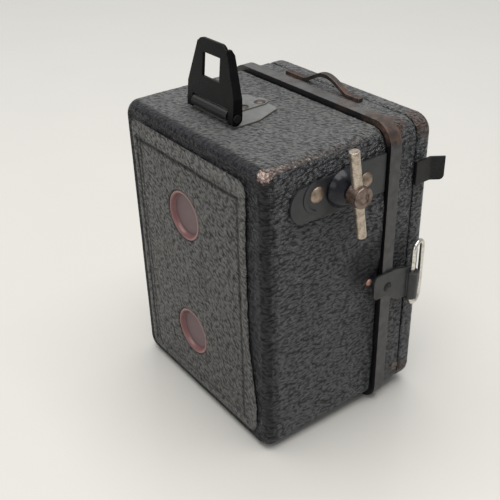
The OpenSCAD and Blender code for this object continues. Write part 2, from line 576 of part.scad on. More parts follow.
// round blade that carries the exposure hole past the lens
module shutter_disc() color([0.12, 0.12, 0.13]) xz(rim_y0 - 2.15, rim_y0 - 1.75) difference() {
  translate([disc_x, disc_z]) circle(15);
  translate([disc_x, disc_z]) circle(0.95);
  // exposure hole, parked to one side
  translate([disc_x, disc_z]) rotate(-48) translate([0, 11]) circle(3.2);
  // hole for the drive spring
  translate([disc_x, disc_z]) rotate(35) translate([0, 12.5]) circle(0.7);
}
module shutter_spring() color([0.6, 0.6, 0.62])
  wire(concat(
    [[disc_x - 7.17, rim_y0 - 1.0, disc_z + 10.24], [disc_x - 7.17, rim_y0 - 3.0, disc_z + 10.24], [disc_x - 9.5, rim_y0 - 3.6, disc_z + 12.4]],
    [for (i = [0:28]) let (a = 200 + 720 * i / 28) [-9.5 + 1.6 * cos(a), rim_y0 - 3.9 - 1.2 * i / 28, 47.5 + 1.6 * sin(a)]],
    [[-8.6, rim_y0 - 5.3, 50.4], [lever_px + 3.8, rim_y0 - 5.7, lever_pz - 8.1], [lever_px + 3.8, rim_y0 - 6.2, lever_pz - 8], [lever_px + 3.8, seam_y - 0.8, lever_pz - 8]]), 0.22, 6);
module lever_pivot() color([0.55, 0.5, 0.4]) {
  cy(-front_d + skin - 0.02, seam_y + 0.8, lever_px, lever_pz, 1);
  cy(-front_d + skin + metal_t, seam_y - 0.55, lever_px, lever_pz, 1.8);
  cy(seam_y + 0.15, seam_y + 0.75, lever_px, lever_pz, 1.8);
}
// finger lever: inner arm, strip along the cap's side and turned-out pad
module release_lever() color([0.07, 0.07, 0.08]) difference() {
  union() {
    xz(seam_y - 0.5, seam_y + 0.1) {
      translate([lever_px, lever_pz]) circle(3.2);
      polygon([[lever_px - 1, lever_pz + 3], [-hx - 0.25, 70.6], [-hx - 0.25, 65.2], [-21, 61.5], [lever_px + 0.5, lever_pz - 3.1]]);
      // short arm that pulls the drive spring
      polygon([[lever_px - 2.6, lever_pz - 1.5], [lever_px + 3, lever_pz - 1], [lever_px + 5, lever_pz - 7.5], [lever_px + 2.6, lever_pz - 8.6]]);
      translate([lever_px + 3.8, lever_pz - 8]) circle(1.3);
    }
    // strip outside the body
    translate([0, 0, 67.6]) {
      box([-hx - 0.8, -12.5, -3.1], [-hx - 0.2, seam_y + 0.1, 3.1]);
      // pad turned away from the side
      translate([-hx - 0.5, -12.5, 0]) rotate([0, 0, -36]) box([-0.3, -3.6, -3.1], [0.3, 0.15, 3.1]);
    }
  }
  cy(-15, 0, lever_px, lever_pz, 1.05);
  cy(-15, 0, lever_px + 3.8, lever_pz - 8, 0.5);
  // rounded lower corner of the pad
  translate([-hx - 0.5, -12.5, 67.6]) rotate([0, 0, -36]) difference() {
    box([-1, -4.5, -3.7], [1, -2.4, -1.9]);
    cx(-2, 2, -2.4, -1.9, 1.2);
  }
}

// ---------- front half: fittings ----------
// carrying loop: a flat strip humped in the middle, its ends through the top
function hump(x) = let (t = (x + 0.2) / 8.2) abs(t) >= 1 ? 0 : 3.1 * pow(cos(90 * t), 1.3);
module strap_loop() color([0.2, 0.16, 0.14]) {
  translate([0, -4.9, 0]) xz(-0.75, 0.75)
    polygon(concat(
      [for (i = [0:48]) let (x = -12.9 + 28.6 * i / 48) [x, z1 + hump(x)]],
      [for (i = [48:-1:0]) let (x = -12.9 + 28.6 * i / 48) [x, z1 + 1.05 + hump(x)]]));
  // narrow tabs at both ends
  for (x = [15.1, -12.3]) box([x - 0.55, -5.05, z1 - 2.2], [x + 0.55, -4.15, z1 + 0.4]);
}
// lug plate riveted to the rim, with a rolled barrel for the ring
lug_y = -7.75;
lug_x = -rim_x - 0.75;
module lug_plate() color([0.2, 0.2, 0.21]) difference() {
  union() {
    yz(-rim_x - 0.7, -rim_x) {
      difference() {
        polygon([[5.8, 37.4], [5.0, 36.4], [1.4, 36.2], [-2.5, 33.6], [lug_y + 1.4, 32.9], [lug_y + 1.4, 41.8], [-5, 42.2], [-1.5, 43.0], [4, 43.1], [5.8, 41.6]]);
      }
      translate([4.3, 41.6]) circle(1.5);
    }
    box([-rim_x - 1.2, lug_y, 32.2], [-rim_x - 0.0, lug_y + 1.5, 40.2]);
    cz(32.2, 40.2, lug_x, lug_y, 1.7);
  }
  cz(30, 44, lug_x, lug_y, 0.78);
  cx(-rim_x - 3, -rim_x + 1, 1.1, 38.9, 1.02);
}
module lug_rivet() color([0.22, 0.22, 0.23]) {
  cx(-rim_x - 0.7, -rim_x + 1.4, 1.1, 38.9, 1);
  translate([-rim_x - 0.7, 1.1, 38.9]) rotate([0, -90, 0]) dome(1.35, 0.25);
}
// wire ring: straight leg in the barrel, outer leg, two bends
ring_w = 4.3;
ring_lean = 14;
module strap_ring() color([0.62, 0.6, 0.57]) translate([lug_x, lug_y, 0]) rotate([0, 0, ring_lean]) {
  cz(31.7, 45.9, 0, 0, 0.64);
  cz(31.7, 45.9, 0, -ring_w, 0.64);
  for (e = [[45.9, 0], [31.7, 180]]) translate([0, -ring_w / 2, e[0]]) rotate([e[1], 0, 0])
    rotate([90, 0, 90]) rotate_extrude(angle = 180) translate([ring_w / 2, 0]) circle(0.64, $fn = 24);
}

rear_shell();
leather_wrap();
back_panel();
red_window_upper();
red_window_lower();
key_plate();
key_rivets();
key_bush();
finder_base();
finder_rivets();
finder_spring();
finder_pin();
finder_frame();
latch_stud();
carrier_cheek_left();
carrier_cheek_right();
film_gate();
guide_bars();
light_cone();
carrier_front();
spool_pins();
supply_spring();
pressure_plate();
pressure_spring();
hinge_rear_leaf();
hinge_rivets();
hinge_pin();
key_collar();
key_spring();
key_shaft();
key_bar();
takeup_spool();
rim();
front_section();
front_leather();
front_cap();
cap_leather();
lens_mount();
lens();
lens_ring();
aperture_plate();
shutter_board();
board_screws();
shutter_pivot();
shutter_disc();
shutter_spring();
lever_pivot();
release_lever();
strap_loop();
lug_plate();
lug_rivet();
strap_ring();
seam_screws();
hinge_front_leaf();
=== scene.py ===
import json
import math

import bmesh
import bpy
import numpy as np
from mathutils import Matrix, Vector

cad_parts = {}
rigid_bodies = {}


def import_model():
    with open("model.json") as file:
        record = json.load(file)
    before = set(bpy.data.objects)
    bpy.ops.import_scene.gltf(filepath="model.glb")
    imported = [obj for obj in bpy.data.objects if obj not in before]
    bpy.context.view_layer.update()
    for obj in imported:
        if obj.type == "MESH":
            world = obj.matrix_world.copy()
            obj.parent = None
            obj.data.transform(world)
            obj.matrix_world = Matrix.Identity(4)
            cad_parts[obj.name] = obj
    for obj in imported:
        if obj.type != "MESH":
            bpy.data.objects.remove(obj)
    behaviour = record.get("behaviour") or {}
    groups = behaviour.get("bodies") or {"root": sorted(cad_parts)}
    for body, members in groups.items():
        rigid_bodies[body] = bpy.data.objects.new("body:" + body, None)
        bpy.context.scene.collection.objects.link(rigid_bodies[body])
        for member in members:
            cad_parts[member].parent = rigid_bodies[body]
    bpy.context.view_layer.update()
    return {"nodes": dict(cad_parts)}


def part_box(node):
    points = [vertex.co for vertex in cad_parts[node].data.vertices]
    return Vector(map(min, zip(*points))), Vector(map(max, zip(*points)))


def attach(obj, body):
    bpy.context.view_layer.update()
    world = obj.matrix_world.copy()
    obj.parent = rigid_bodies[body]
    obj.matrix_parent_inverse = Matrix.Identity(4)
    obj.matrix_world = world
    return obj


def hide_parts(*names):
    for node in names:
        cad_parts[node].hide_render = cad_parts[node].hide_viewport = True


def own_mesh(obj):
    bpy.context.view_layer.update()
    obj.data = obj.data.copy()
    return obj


for o in list(bpy.data.objects):
    bpy.data.objects.remove(o)
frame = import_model()
N = frame["nodes"]
MM = 0.001

# ------------------------------------------------------------------ sizes, read from the frame
wrap_lo, wrap_hi = (np.array(c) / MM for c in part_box("leather_wrap"))
fl_lo, fl_hi = (np.array(c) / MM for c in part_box("front_leather"))
cap_lo, cap_hi = (np.array(c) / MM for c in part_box("cap_leather"))
HX = (wrap_hi[0] - wrap_lo[0]) / 2
Z0, Z1 = wrap_lo[2], wrap_hi[2]
ZC = (Z0 + Z1) / 2
HZ = (Z1 - Z0) / 2
REAR = wrap_hi[1]
FRONT = cap_lo[1]
WRAP_Y = wrap_lo[1]
SEAM = fl_lo[1]
RIM_Y0 = fl_hi[1]
CAP_Y = cap_hi[1]
win_lo, win_hi = (np.array(c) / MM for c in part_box("red_window_upper"))
OX = (win_lo[0] + win_hi[0]) / 2
WZ = [(win_lo[2] + win_hi[2]) / 2]
w2_lo, w2_hi = (np.array(c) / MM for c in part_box("red_window_lower"))
WZ.append((w2_lo[2] + w2_hi[2]) / 2)
R_LONG, R_BACK, R_FRONT = 4.6, 3.2, 2.8


# ------------------------------------------------------------------ seeded noise
def _hash(ix, iy, seed):
    h = (ix.astype(np.int64) * 374761393 + iy.astype(np.int64) * 668265263 + seed * 974634777) & 0xFFFFFFFF
    h = ((h ^ (h >> 13)) * 1274126177) & 0xFFFFFFFF
    h = ((h ^ (h >> 15)) * 2246822519) & 0xFFFFFFFF
    return ((h ^ (h >> 16)) & 0xFFFFFF).astype(float) / 0xFFFFFF


def perlin(x, y, seed=0):
    ix, iy = np.floor(x), np.floor(y)
    fx, fy = x - ix, y - iy
    u, v = fx * fx * fx * (fx * (fx * 6 - 15) + 10), fy * fy * fy * (fy * (fy * 6 - 15) + 10)

    def g(dx, dy):
        a = _hash(ix + dx, iy + dy, seed) * 2 * np.pi
        return np.cos(a) * (fx - dx) + np.sin(a) * (fy - dy)

    a = g(0, 0) * (1 - u) + g(1, 0) * u
    b = g(0, 1) * (1 - u) + g(1, 1) * u
    return (a * (1 - v) + b * v) * 1.5


def worley(x, y, seed=0, jitter=0.85):
    ix, iy = np.floor(x), np.floor(y)
    f1 = np.full(x.shape, 9.0)
    f2 = np.full(x.shape, 9.0)
    for dx in (-1, 0, 1):
        for dy in (-1, 0, 1):
            px = ix + dx + 0.5 + jitter * (_hash(ix + dx, iy + dy, seed + 11) - 0.5)
            py = iy + dy + 0.5 + jitter * (_hash(ix + dx, iy + dy, seed + 23) - 0.5)
            d = np.hypot(px - x, py - y)
            f2 = np.minimum(f2, np.maximum(f1, d))
            f1 = np.minimum(f1, d)
    return f1, f2


def step(a, b, x):
    t = np.clip((x - a) / (b - a), 0, 1)
    return t * t * (3 - 2 * t)


def grain2(p, q, seed, length=2.1, width=0.95):
    """Height from 0 to 1 of a wrinkled leatherette; p runs along the wrinkles and q across them."""
    p2 = p + 1.1 * perlin(p / 5.5, q / 3.5, seed) + 0.35 * perlin(p / 1.3, q / 1.1 + 9, seed + 6)
    q2 = q + 0.70 * perlin(p / 4.0 + 31, q / 4.0, seed + 1) + 0.30 * perlin(p / 1.5, q / 1.2 + 7, seed + 2)
    f1, f2 = worley(p2 / length, q2 / width, seed + 3, 1.0)
    dome = np.clip(1.05 - f1 * 1.25, 0, 1)
    rip = 0.5 + 0.5 * perlin(p2 / 1.9 + 5, q2 / 0.75, seed + 4)
    broad = 0.5 + 0.5 * perlin(p / 4.5, q / 2.6 + 3, seed + 5)
    return np.clip(0.45 * dome + 0.40 * rip + 0.22 * broad, 0, 1)


def turned(a, b, da, db):
    n = math.hypot(da, db)
    return (a * da + b * db) / n, (-a * db + b * da) / n


def grain(P, Nn, seed=1):
    """Leatherette height for points P in mm with unit normals Nn, each side with its own run of the grain."""
    x, y, z = P.T
    w = np.abs(Nn) ** 3
    w /= w.sum(1)[:, None]
    sx = np.where(Nn[:, 0] < 0, 0, 40).astype(float)
    gx = grain2(*turned(y + sx, z, -1, 0.22), seed)
    sy = np.where(Nn[:, 1] > 0, 0, 70).astype(float)
    gy = grain2(*turned(x + sy, z, -1, -0.62), seed + 40)
    sz = np.where(Nn[:, 2] > 0, 0, 55).astype(float)
    gz = grain2(*turned(x + sz, y, 1, 0.917), seed + 80)
    return w[:, 0] * gx + w[:, 1] * gy + w[:, 2] * gz


# ------------------------------------------------------------------ rounded casing surfaces
def axis_lines(half, r, spacing, k):
    """Lines across one side: middle part evenly spaced, then a corner zone at each end. Returns (value, u) with u the signed share of the corner zone. Counts are multiples of k."""
    nf = max(k, k * round((2 * half - 2 * r) / spacing / k))
    nc = max(k, k * round(r * math.pi / 4 / spacing / k))
    a = half - r
    flat = np.linspace(-a, a, nf + 1)
    u = np.arange(1, nc + 1) / nc
    vals = np.concatenate([np.full(nc, -a), flat, np.full(nc, a)])
    us = np.concatenate([-u[::-1], np.zeros(nf + 1), u])
    return vals, us


class Casing:
    """A rounded box open at one end along Y: lattice points on its outside, with exact normals."""

    def __init__(self, y_open, y_end, r1, r2, spacing, k=4, end=True):
        self.k, self.end = k, end
        self.sgn = 1.0 if y_end > y_open else -1.0
        self.X, self.U = axis_lines(HX, r1, spacing, k)
        self.Z, self.V = axis_lines(HZ, r1, spacing, k)
        self.r1, self.r2, self.y_end = r1, r2, y_end
        depth = abs(y_end - y_open) - (r2 if end else 0)
        nf = max(k, k * round(depth / spacing / k))
        self.Y = y_open + self.sgn * depth * np.arange(nf + 1) / nf
        self.W = np.zeros(nf + 1)
        if end:
            nc = max(k, k * round(r2 * math.pi / 4 / spacing / k))
            self.Y = np.concatenate([self.Y, np.full(nc, self.Y[-1])])
            self.W = np.concatenate([self.W, np.arange(1, nc + 1) / nc])
        self.nx, self.ny, self.nz = len(self.X), len(self.Y), len(self.Z)

    def point(self, i, j, k):
        """Arrays of lattice indices to points and normals, before any inset."""
        r1, r2 = self.r1, self.r2
        X, U, Z, V = self.X[i], self.U[i], self.Z[k], self.V[k]
        on_end = (j == self.ny - 1) & (self.end)
        P = np.zeros((len(i), 3))
        Nn = np.zeros((len(i), 3))
        # sides
        xs = (i == 0) | (i == self.nx - 1)
        sx, sz = np.where(i == 0, -1.0, 1.0), np.where(k == 0, -1.0, 1.0)
        phx = np.arcsin(np.abs(V) / math.sqrt(2))
        phz = np.arcsin(np.abs(U) / math.sqrt(2))
        nxs = np.where(xs, np.cos(phx) * sx, np.sin(phz) * np.sign(U))
        nzs = np.where(xs, np.sin(phx) * np.sign(V), np.cos(phz) * sz)
        cx = np.where(xs, sx * (HX - r1), X)
        cz = np.where(xs, Z, sz * (HZ - r1))
        th = math.pi / 4 * self.W[j]
        rad = r1 - r2 * (1 - np.cos(th))
        side = np.stack([cx + nxs * rad, self.Y[j] + self.sgn * r2 * np.sin(th), cz + nzs * rad], 1)
        nside = np.stack([np.cos(th) * nxs, self.sgn * np.sin(th), np.cos(th) * nzs], 1)
        # closed end
        u, v = np.abs(U), np.abs(V)
        s = r1 * u * np.sqrt(1 - v * v / 2)
        t = r1 * v * np.sqrt(1 - u * u / 2)
        rho = np.hypot(s, t)
        safe = np.maximum(rho, 1e-9)
        dx, dz = s / safe * np.sign(U), t / safe * np.sign(V)
        c = np.clip((rho - (r1 - r2)) / r2, 0, 1)
        te = math.pi / 2 - math.pi / 4 * c
        rr = np.where(c > 0, r1 - r2 + r2 * np.cos(te), rho)
        endp = np.stack([X + dx * rr, np.full(len(i), self.y_end) - self.sgn * r2 * (1 - np.sin(te)), Z + dz * rr], 1)
        nend = np.stack([np.cos(te) * dx, self.sgn * np.sin(te), np.cos(te) * dz], 1)
        m = on_end[:, None]
        P = np.where(m, endp, side)
        Nn = np.where(m, nend, nside)
        P[:, 2] += ZC
        return P, Nn

    def faces(self, stride=1):
        """Quads as lattice triples, outside faces, each a list of four (i, j, k)."""
        nx, ny, nz, s = self.nx - 1, self.ny - 1, self.nz - 1, stride
        out = []
        jj = np.arange(0, ny, s)
        kk = np.arange(0, nz, s)
        ii = np.arange(0, nx, s)

        def quad(a, b, c, d):
            out.append(np.stack([np.stack(v, -1).reshape(-1, 3) for v in (a, b, c, d)], 1))

        J, K = np.meshgrid(jj, kk, indexing="ij")
        for i, flip in ((0, False), (nx, True)):
            I = np.full(J.shape, i)
            q = [(I, J, K), (I, J, K + s), (I, J + s, K + s), (I, J + s, K)]
            quad(*(q[::-1] if flip else q))
        J, I = np.meshgrid(jj, ii, indexing="ij")
        for k, flip in ((0, True), (nz, False)):
            K = np.full(J.shape, k)
            q = [(I, J, K), (I, J + s, K), (I + s, J + s, K), (I + s, J, K)]
            quad(*(q[::-1] if flip else q))
        if self.end:
            I, K = np.meshgrid(ii, kk, indexing="ij")
            J = np.full(I.shape, ny)
            quad((I, J, K), (I, J, K + s), (I + s, J, K + s), (I + s, J, K))
        q = np.concatenate(out)
        if self.sgn < 0:
            q = q[:, ::-1]
        return q

    def key(self, t):
        return (t[..., 0] * 4096 + t[..., 1]) * 4096 + t[..., 2]


def build_mesh(name, verts, faces, attrs=None, smooth=True):
    me = bpy.data.meshes.new(name)
    quads = np.asarray(faces)
    verts = np.asarray(verts, float) * MM
    tri = quads[:, 3] < 0 if quads.shape[1] == 4 else np.zeros(len(quads), bool)
    sizes = np.where(tri, 3, 4)
    flat = quads.reshape(-1)
    flat = flat[flat >= 0]
    me.vertices.add(len(verts))
    me.vertices.foreach_set("co", verts.astype(np.float32).ravel())
    me.loops.add(len(flat))
    me.loops.foreach_set("vertex_index", flat.astype(np.int32))
    me.polygons.add(len(quads))
    starts = np.concatenate([[0], np.cumsum(sizes)[:-1]])
    me.polygons.foreach_set("loop_start", starts.astype(np.int32))
    me.update(calc_edges=True)
    me.validate()
    me.polygons.foreach_set("use_smooth", np.full(len(me.polygons), smooth))
    for k, v in (attrs or {}).items():
        a = me.attributes.new(k, "FLOAT", "POINT")
        a.data.foreach_set("value", np.asarray(v, np.float32))
    ob = bpy.data.objects.new(name, me)
    bpy.context.scene.collection.objects.link(ob)
    return ob


def outward(ob):
    """Make a closed mesh's faces point outwards."""
    bm = bmesh.new()
    bm.from_mesh(ob.data)
    bmesh.ops.recalc_face_normals(bm, faces=bm.faces)
    bm.to_mesh(ob.data)
    bm.free()
    return ob


def casing_piece(name, cas, relief, inner, keep=None, attrs_of=None):
    """Closed skin: fine outside with relief(P, N) along the normal, coarse inside inset by inner, edges stitched."""
    s = cas.k
    coarse = cas.faces(s)
    if keep is not None:
        mid = coarse.mean(1)
        P, _ = cas.point(*[coarse[:, a, c] for a in (0,) for c in range(3)])
        P2, _ = cas.point(*[coarse[:, 2, c] for c in range(3)])
        kept = keep((P + P2) / 2)
        coarse = coarse[kept]
    else:
        kept = None
    fine = cas.faces(1)
    if kept is not None:
        lo = fine.min(1)
        hi = fine.max(1)
        # a fine quad belongs to the coarse cell that holds its lowest corner
        cell_lo = (lo // s) * s
        flat_axis = (lo == hi)
        cell_lo = np.where(flat_axis, lo, cell_lo)
        def cell_key(c, f):
            return cas.key(c) * 8 + f[:, 0] * 1 + f[:, 1] * 2 + f[:, 2] * 4
        clo, chi = coarse.min(1), coarse.max(1)
        good = set(cell_key(clo, (clo == chi)).tolist())
        m = np.array([v in good for v in cell_key(cell_lo, flat_axis).tolist()])
        fine = fine[m]
    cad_, finv = np.unique(cas.key(fine).ravel(), return_inverse=True)
    first = {}
    flat = fine.reshape(-1, 3)
    _, idx = np.unique(cas.key(flat), return_index=True)
    trip = flat[idx]
    P, Nn = cas.point(trip[:, 0], trip[:, 1], trip[:, 2])
    out = P + Nn * relief(P, Nn)[:, None]
    quads = finv.reshape(-1, 4)
    nf = len(trip)
    cflat = coarse.reshape(-1, 3)
    ck, cidx, cinv = np.unique(cas.key(cflat), return_index=True, return_inverse=True)
    ctrip = cflat[cidx]
    Pi, Ni = cas.point(ctrip[:, 0], ctrip[:, 1], ctrip[:, 2])
    ins = Pi - Ni * inner
    cq = cinv.reshape(-1, 4)[:, ::-1] + nf
    lookup = dict(zip(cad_.tolist(), range(nf)))
    clook = dict(zip(ck.tolist(), range(nf, nf + len(ctrip))))
    # open edges of the coarse lattice
    edges = {}
    for q in coarse:
        for a in range(4):
            A, B = tuple(q[a]), tuple(q[(a + 1) % 4])
            if (B, A) in edges:
                del edges[(B, A)]
            else:
                edges[(A, B)] = True
    tris = []
    for A, B in edges:
        A_, B_ = np.array(A), np.array(B)
        chain = [lookup[int(cas.key(A_ + (B_ - A_) * t // s))] for t in range(s + 1)]
        a, b = clook[int(cas.key(A_))], clook[int(cas.key(B_))]
        h = s // 2
        for t in range(h):
            tris.append((chain[t + 1], chain[t], a, -1))
        tris.append((chain[h], a, b, -1))
        for t in range(h, s):
            tris.append((chain[t + 1], chain[t], b, -1))
    verts = np.concatenate([out, ins])
    faces = np.concatenate([quads, cq, np.array(tris)])
    attrs = {}
    if attrs_of is not None:
        both_P = np.concatenate([P, Pi])
        both_N = np.concatenate([Nn, Ni])
        attrs = attrs_of(both_P, both_N)
        for v in attrs.values():
            pass
        attrs["inside"] = np.concatenate([np.zeros(nf), np.ones(len(ctrip))])
    return outward(build_mesh(name, verts, faces, attrs))


# ------------------------------------------------------------------ where the leatherette is worn, dark or dusty, and where shade is painted dark
def near(P, c, r):
    d = np.sqrt(((P - np.array(c)) ** 2).sum(1))
    return 1 - step(0.35 * r, r, d)


def back_band(P, Nn):
    """1 along the rolled edges around the back, where the covering is smooth and dark."""
    ang = np.degrees(np.arctan2(Nn[:, 1], np.hypot(Nn[:, 0], Nn[:, 2])))
    return step(6, 26, ang) * (1 - step(70, 86, ang))


def wrap_masks(P, Nn):
    x, y, z = P.T
    band = back_band(P, Nn)
    # the dark band runs on over the flat strip beside the panel and a little way round the edge
    strip = np.where(Nn[:, 2] > 0.7, step(REAR - 3.2, REAR - 1.6, y), step(REAR - 4.8, REAR - 2.6, y + 0.5 * perlin(z / 2.5, x / 2.5, 62)))
    band = np.maximum(band, strip * (0.75 + 0.25 * perlin(x / 3, (y + z) / 3, 61)))
    top_edge = step(0.45, 0.72, Nn[:, 2]) * (1 - step(0.86, 0.97, Nn[:, 2])) * step(0.2, 0.5, -Nn[:, 0])
    # painted shade: under darkens the upper rounding of the long edges, a band just below the top
    under = step(0.05, 0.4, Nn[:, 2]) * (1 - step(0.6, 0.85, Nn[:, 2]))
    dark = np.clip(band * 0.97 + 0.55 * under, 0, 1)
    # painted shade: a dark patch on the key side beside the rim, where the covering bulges
    dark_patch = near(P, (-29.9, 5.5, 46.5), 11)
    dark = np.clip(dark + 0.85 * dark_patch, 0, 1)
    wear = (0.66 + 0.16 * step(18, 36, y)) * top_edge * step(1, 10, y) + 0.84 * near(P, (-28.4, 37.2, 79.8), 3.0)
    wear += 0.55 * step(0.35, 0.7, Nn[:, 2]) * step(0.25, 0.6, Nn[:, 1]) * step(0.4, 0.9, 1 - np.abs(x) / HX) * 0.5
    rust = near(P, (-29.9, 6.2, 40.9), 2.6) * 0.8
    dust = step(0.5, 0.95, Nn[:, 2])
    return {"dark": dark, "wear": np.clip(wear, 0, 1.4), "rust": rust, "dust": dust}


def wrap_relief(P, Nn):
    x, y, z = P.T
    g = grain(P, Nn)
    band = back_band(P, Nn)
    hidden = step(0.93, 0.99, Nn[:, 1])
    amp = 0.20 * (1 - 0.72 * band) * (1 - hidden)
    amp *= 1 - 0.5 * step(REAR - 9, REAR - 6, y) * (np.abs(Nn[:, 0]) > 0.9) * 0.5
    lump = 0.10 * perlin(y / 9 + 3, z / 11, 91) * np.abs(Nn[:, 0]) + 0.06 * perlin(x / 12, y / 12 + 9, 92) * np.abs(Nn[:, 2])
    # loose covering pushed up against the rim on the key side, and pressed flat elsewhere
    puff = 0.85 * (1 - step(0, 7.5, y - WRAP_Y)) * step(42, 49, z) * (1 - step(62, 70, z)) * step(0.8, 1, -Nn[:, 0])
    # folds where the covering is gathered into the back edge
    folds = 0.10 * perlin(z / 1.6, y / 5.0, 93) * step(REAR - 12, REAR - 7, y) * (1 - hidden) * step(0.5, 0.9, -Nn[:, 0])
    return (g - 0.62) * amp + lump * (1 - hidden) + puff + folds - 0.04 - 0.5 * hidden * step(0.0, 1.0, hidden)


def wrap_attrs(P, Nn):
    a = wrap_masks(P, Nn)
    a["grain"] = grain(P, Nn)
    return a


wrap_cas = Casing(WRAP_Y, REAR, R_LONG, R_BACK, 0.36)
wrap = casing_piece(
    "leather_wrap_skin",
    wrap_cas,
    wrap_relief,
    0.68,
    keep=lambda P: ~((P[:, 1] > REAR - 0.4) & (np.abs(P[:, 0]) < HX - 9.5) & (np.abs(P[:, 2] - ZC) < HZ - 9.5)),
    attrs_of=wrap_attrs,
)
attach(wrap, "rear_half")
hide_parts("leather_wrap")


def ring_relief(P, Nn):
    x, y, z = P.T
    g = grain(P, Nn, 7)
    edge = step(0, 0.5, y - SEAM) * step(0, 0.4, RIM_Y0 - y)
    return (g - 0.62) * 0.18 * (0.4 + 0.6 * edge) - 0.16 * (1 - step(0, 0.55, y - SEAM)) - 0.03


def ring_attrs(P, Nn):
    x, y, z = P.T
    rust = 0.8 * near(P, (-26.5, -2.5, 80.8), 5.5) + 0.7 * near(P, (-29.6, -5.6, 7.0), 3.0) + 0.55 * near(P, (-7, -3.6, 81.4), 9) * step(0.8, 1, Nn[:, 2]) + 0.4 * near(P, (11.5, -3.5, 81.4), 6)
    # painted shade: dark holds a patch beside the rim on the key side and a band on the upper rounding of the long
    # edges
    dark = 0.75 * near(P, (-29.9, -4.0, 45.0), 7) + 0.5 * step(0.3, 0.6, Nn[:, 2]) * (1 - step(0.75, 0.95, Nn[:, 2]))
    return {"grain": grain(P, Nn, 7), "dark": np.clip(dark, 0, 1), "wear": 0.35 * near(P, (-27.5, -3, 79.5), 6), "rust": np.clip(rust, 0, 1), "dust": step(0.5, 0.95, Nn[:, 2])}


ring_cas = Casing(RIM_Y0, SEAM, R_LONG, R_BACK, 0.34, end=False)
front_leather = casing_piece("front_leather_skin", ring_cas, ring_relief, 0.68, attrs_of=ring_attrs)
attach(front_leather, "front_half")
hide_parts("front_leather")

lever_lo, lever_hi = (np.array(c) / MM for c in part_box("release_lever"))


def cap_relief(P, Nn):
    x, y, z = P.T
    g = grain(P, Nn, 13)
    r = np.hypot(x - OX, z - ZC)
    lip = 1 - step(0, 0.6, CAP_Y - y)
    flat = np.clip(-Nn[:, 1], 0, 1)
    # pressed border line around the front
    b = np.maximum(np.abs(x) - (HX - 5.2), np.abs(z - ZC) - (HZ - 5.2))
    line = np.exp(-((b / 0.45) ** 2)) * step(0.9, 1, flat)
    amp = 0.19 * (1 - 0.5 * step(0.3, 0.7, flat) * (1 - step(0.8, 0.97, flat))) * (0.25 + 0.75 * step(9.2, 11, r))
    return (g - 0.62) * amp - 0.16 * lip - 0.16 * line - 0.03


def cap_attrs(P, Nn):
    x, y, z = P.T
    rust = 1.05 * near(P, (-27.6, -11.0, 79.6), 6.5) + 0.7 * near(P, (-29.6, -9.2, 6.6), 3.4)
    edge = step(0.3, 0.7, -Nn[:, 1]) * (1 - step(0.8, 0.97, -Nn[:, 1]))
    return {"grain": grain(P, Nn, 13), "dark": np.clip(edge * 0.5, 0, 1), "wear": 0.4 * near(P, (-28, -12, 79.5), 4.5) + 0.2 * edge, "rust": np.clip(rust, 0, 1), "dust": step(0.5, 0.95, Nn[:, 2])}


cap_cas = Casing(CAP_Y, FRONT, R_LONG, R_FRONT, 0.36)
# leave the lens opening free
cap_leather = casing_piece(
    "cap_leather_skin",
    cap_cas,
    cap_relief,
    0.68,
    keep=lambda P: ~((P[:, 1] < FRONT + 0.4) & (np.hypot(P[:, 0] - OX, P[:, 2] - ZC) < 7.6)),
    attrs_of=cap_attrs,
)
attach(cap_leather, "front_half")
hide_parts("cap_leather")


# ------------------------------------------------------------------ steel shells under the covering
def shell_piece(name, cas, outer, inner, body, node, holes):
    ob = casing_piece(name, cas, lambda P, Nn: np.full(len(P), -outer), inner)
    cutters = []
    for axis, a, b, r, lo, hi in holes:
        bm = bmesh.new()
        bmesh.ops.create_cone(bm, cap_ends=True, segments=48, radius1=r * MM, radius2=r * MM, depth=(hi - lo) * MM)
        mid = (lo + hi) / 2 * MM
        rot = Matrix.Rotation(math.pi / 2, 4, "X" if axis == "y" else "Y")
        at = Vector((a * MM, mid, b * MM)) if axis == "y" else Vector((mid, a * MM, b * MM))
        bmesh.ops.transform(bm, matrix=Matrix.Translation(at) @ rot, verts=bm.verts)
        me = bpy.data.meshes.new("cutter")
        bm.to_mesh(me)
        bm.free()
        c = bpy.data.objects.new("cutter", me)
        bpy.context.scene.collection.objects.link(c)
        cutters.append(c)
        mod = ob.modifiers.new("hole", "BOOLEAN")
        mod.operation, mod.solver, mod.object = "DIFFERENCE", "EXACT", c
    if cutters:
        dg = bpy.context.evaluated_depsgraph_get()
        new = bpy.data.meshes.new_from_object(ob.evaluated_get(dg))
        ob.modifiers.clear()
        old = ob.data
        ob.data = new
        new.name = name
        bpy.data.meshes.remove(old)
        for c in cutters:
            me = c.data
            bpy.data.objects.remove(c)
            bpy.data.meshes.remove(me)
    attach(ob, body)
    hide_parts(node)
    return ob


key_lo, key_hi = (np.array(c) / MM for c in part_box("key_bush"))
KY, KZ = (key_lo[1] + key_hi[1]) / 2, (key_lo[2] + key_hi[2]) / 2
rear_shell = shell_piece(
    "rear_shell_pressing",
    Casing(0.1, REAR, R_LONG, R_BACK, 1.3, k=2),
    0.78,
    1.45,
    "rear_half",
    "rear_shell",
    [("y", OX, WZ[0], 6.9, REAR - 4, REAR + 2), ("y", OX, WZ[1], 6.9, REAR - 4, REAR + 2), ("x", KY, KZ, 3.2, -HX - 2, -HX + 4)],
)
front_cap = shell_piece(
    "front_cap_pressing",
    Casing(CAP_Y + 0.1, FRONT, R_LONG, R_FRONT, 1.3, k=2),
    0.78,
    1.45,
    "front_half",
    "front_cap",
    [("y", OX, ZC, 6.15, FRONT - 3, FRONT + 5)],
)


# ------------------------------------------------------------------ back panel
def back_y(x, z):
    dx = np.maximum(0, np.abs(x) - (HX - R_LONG))
    dz = np.maximum(0, np.abs(z - ZC) - (HZ - R_LONG))
    c = np.maximum(0, np.hypot(dx, dz) - (R_LONG - R_BACK))
    return REAR - R_BACK + np.sqrt(np.maximum(0, R_BACK**2 - c**2))


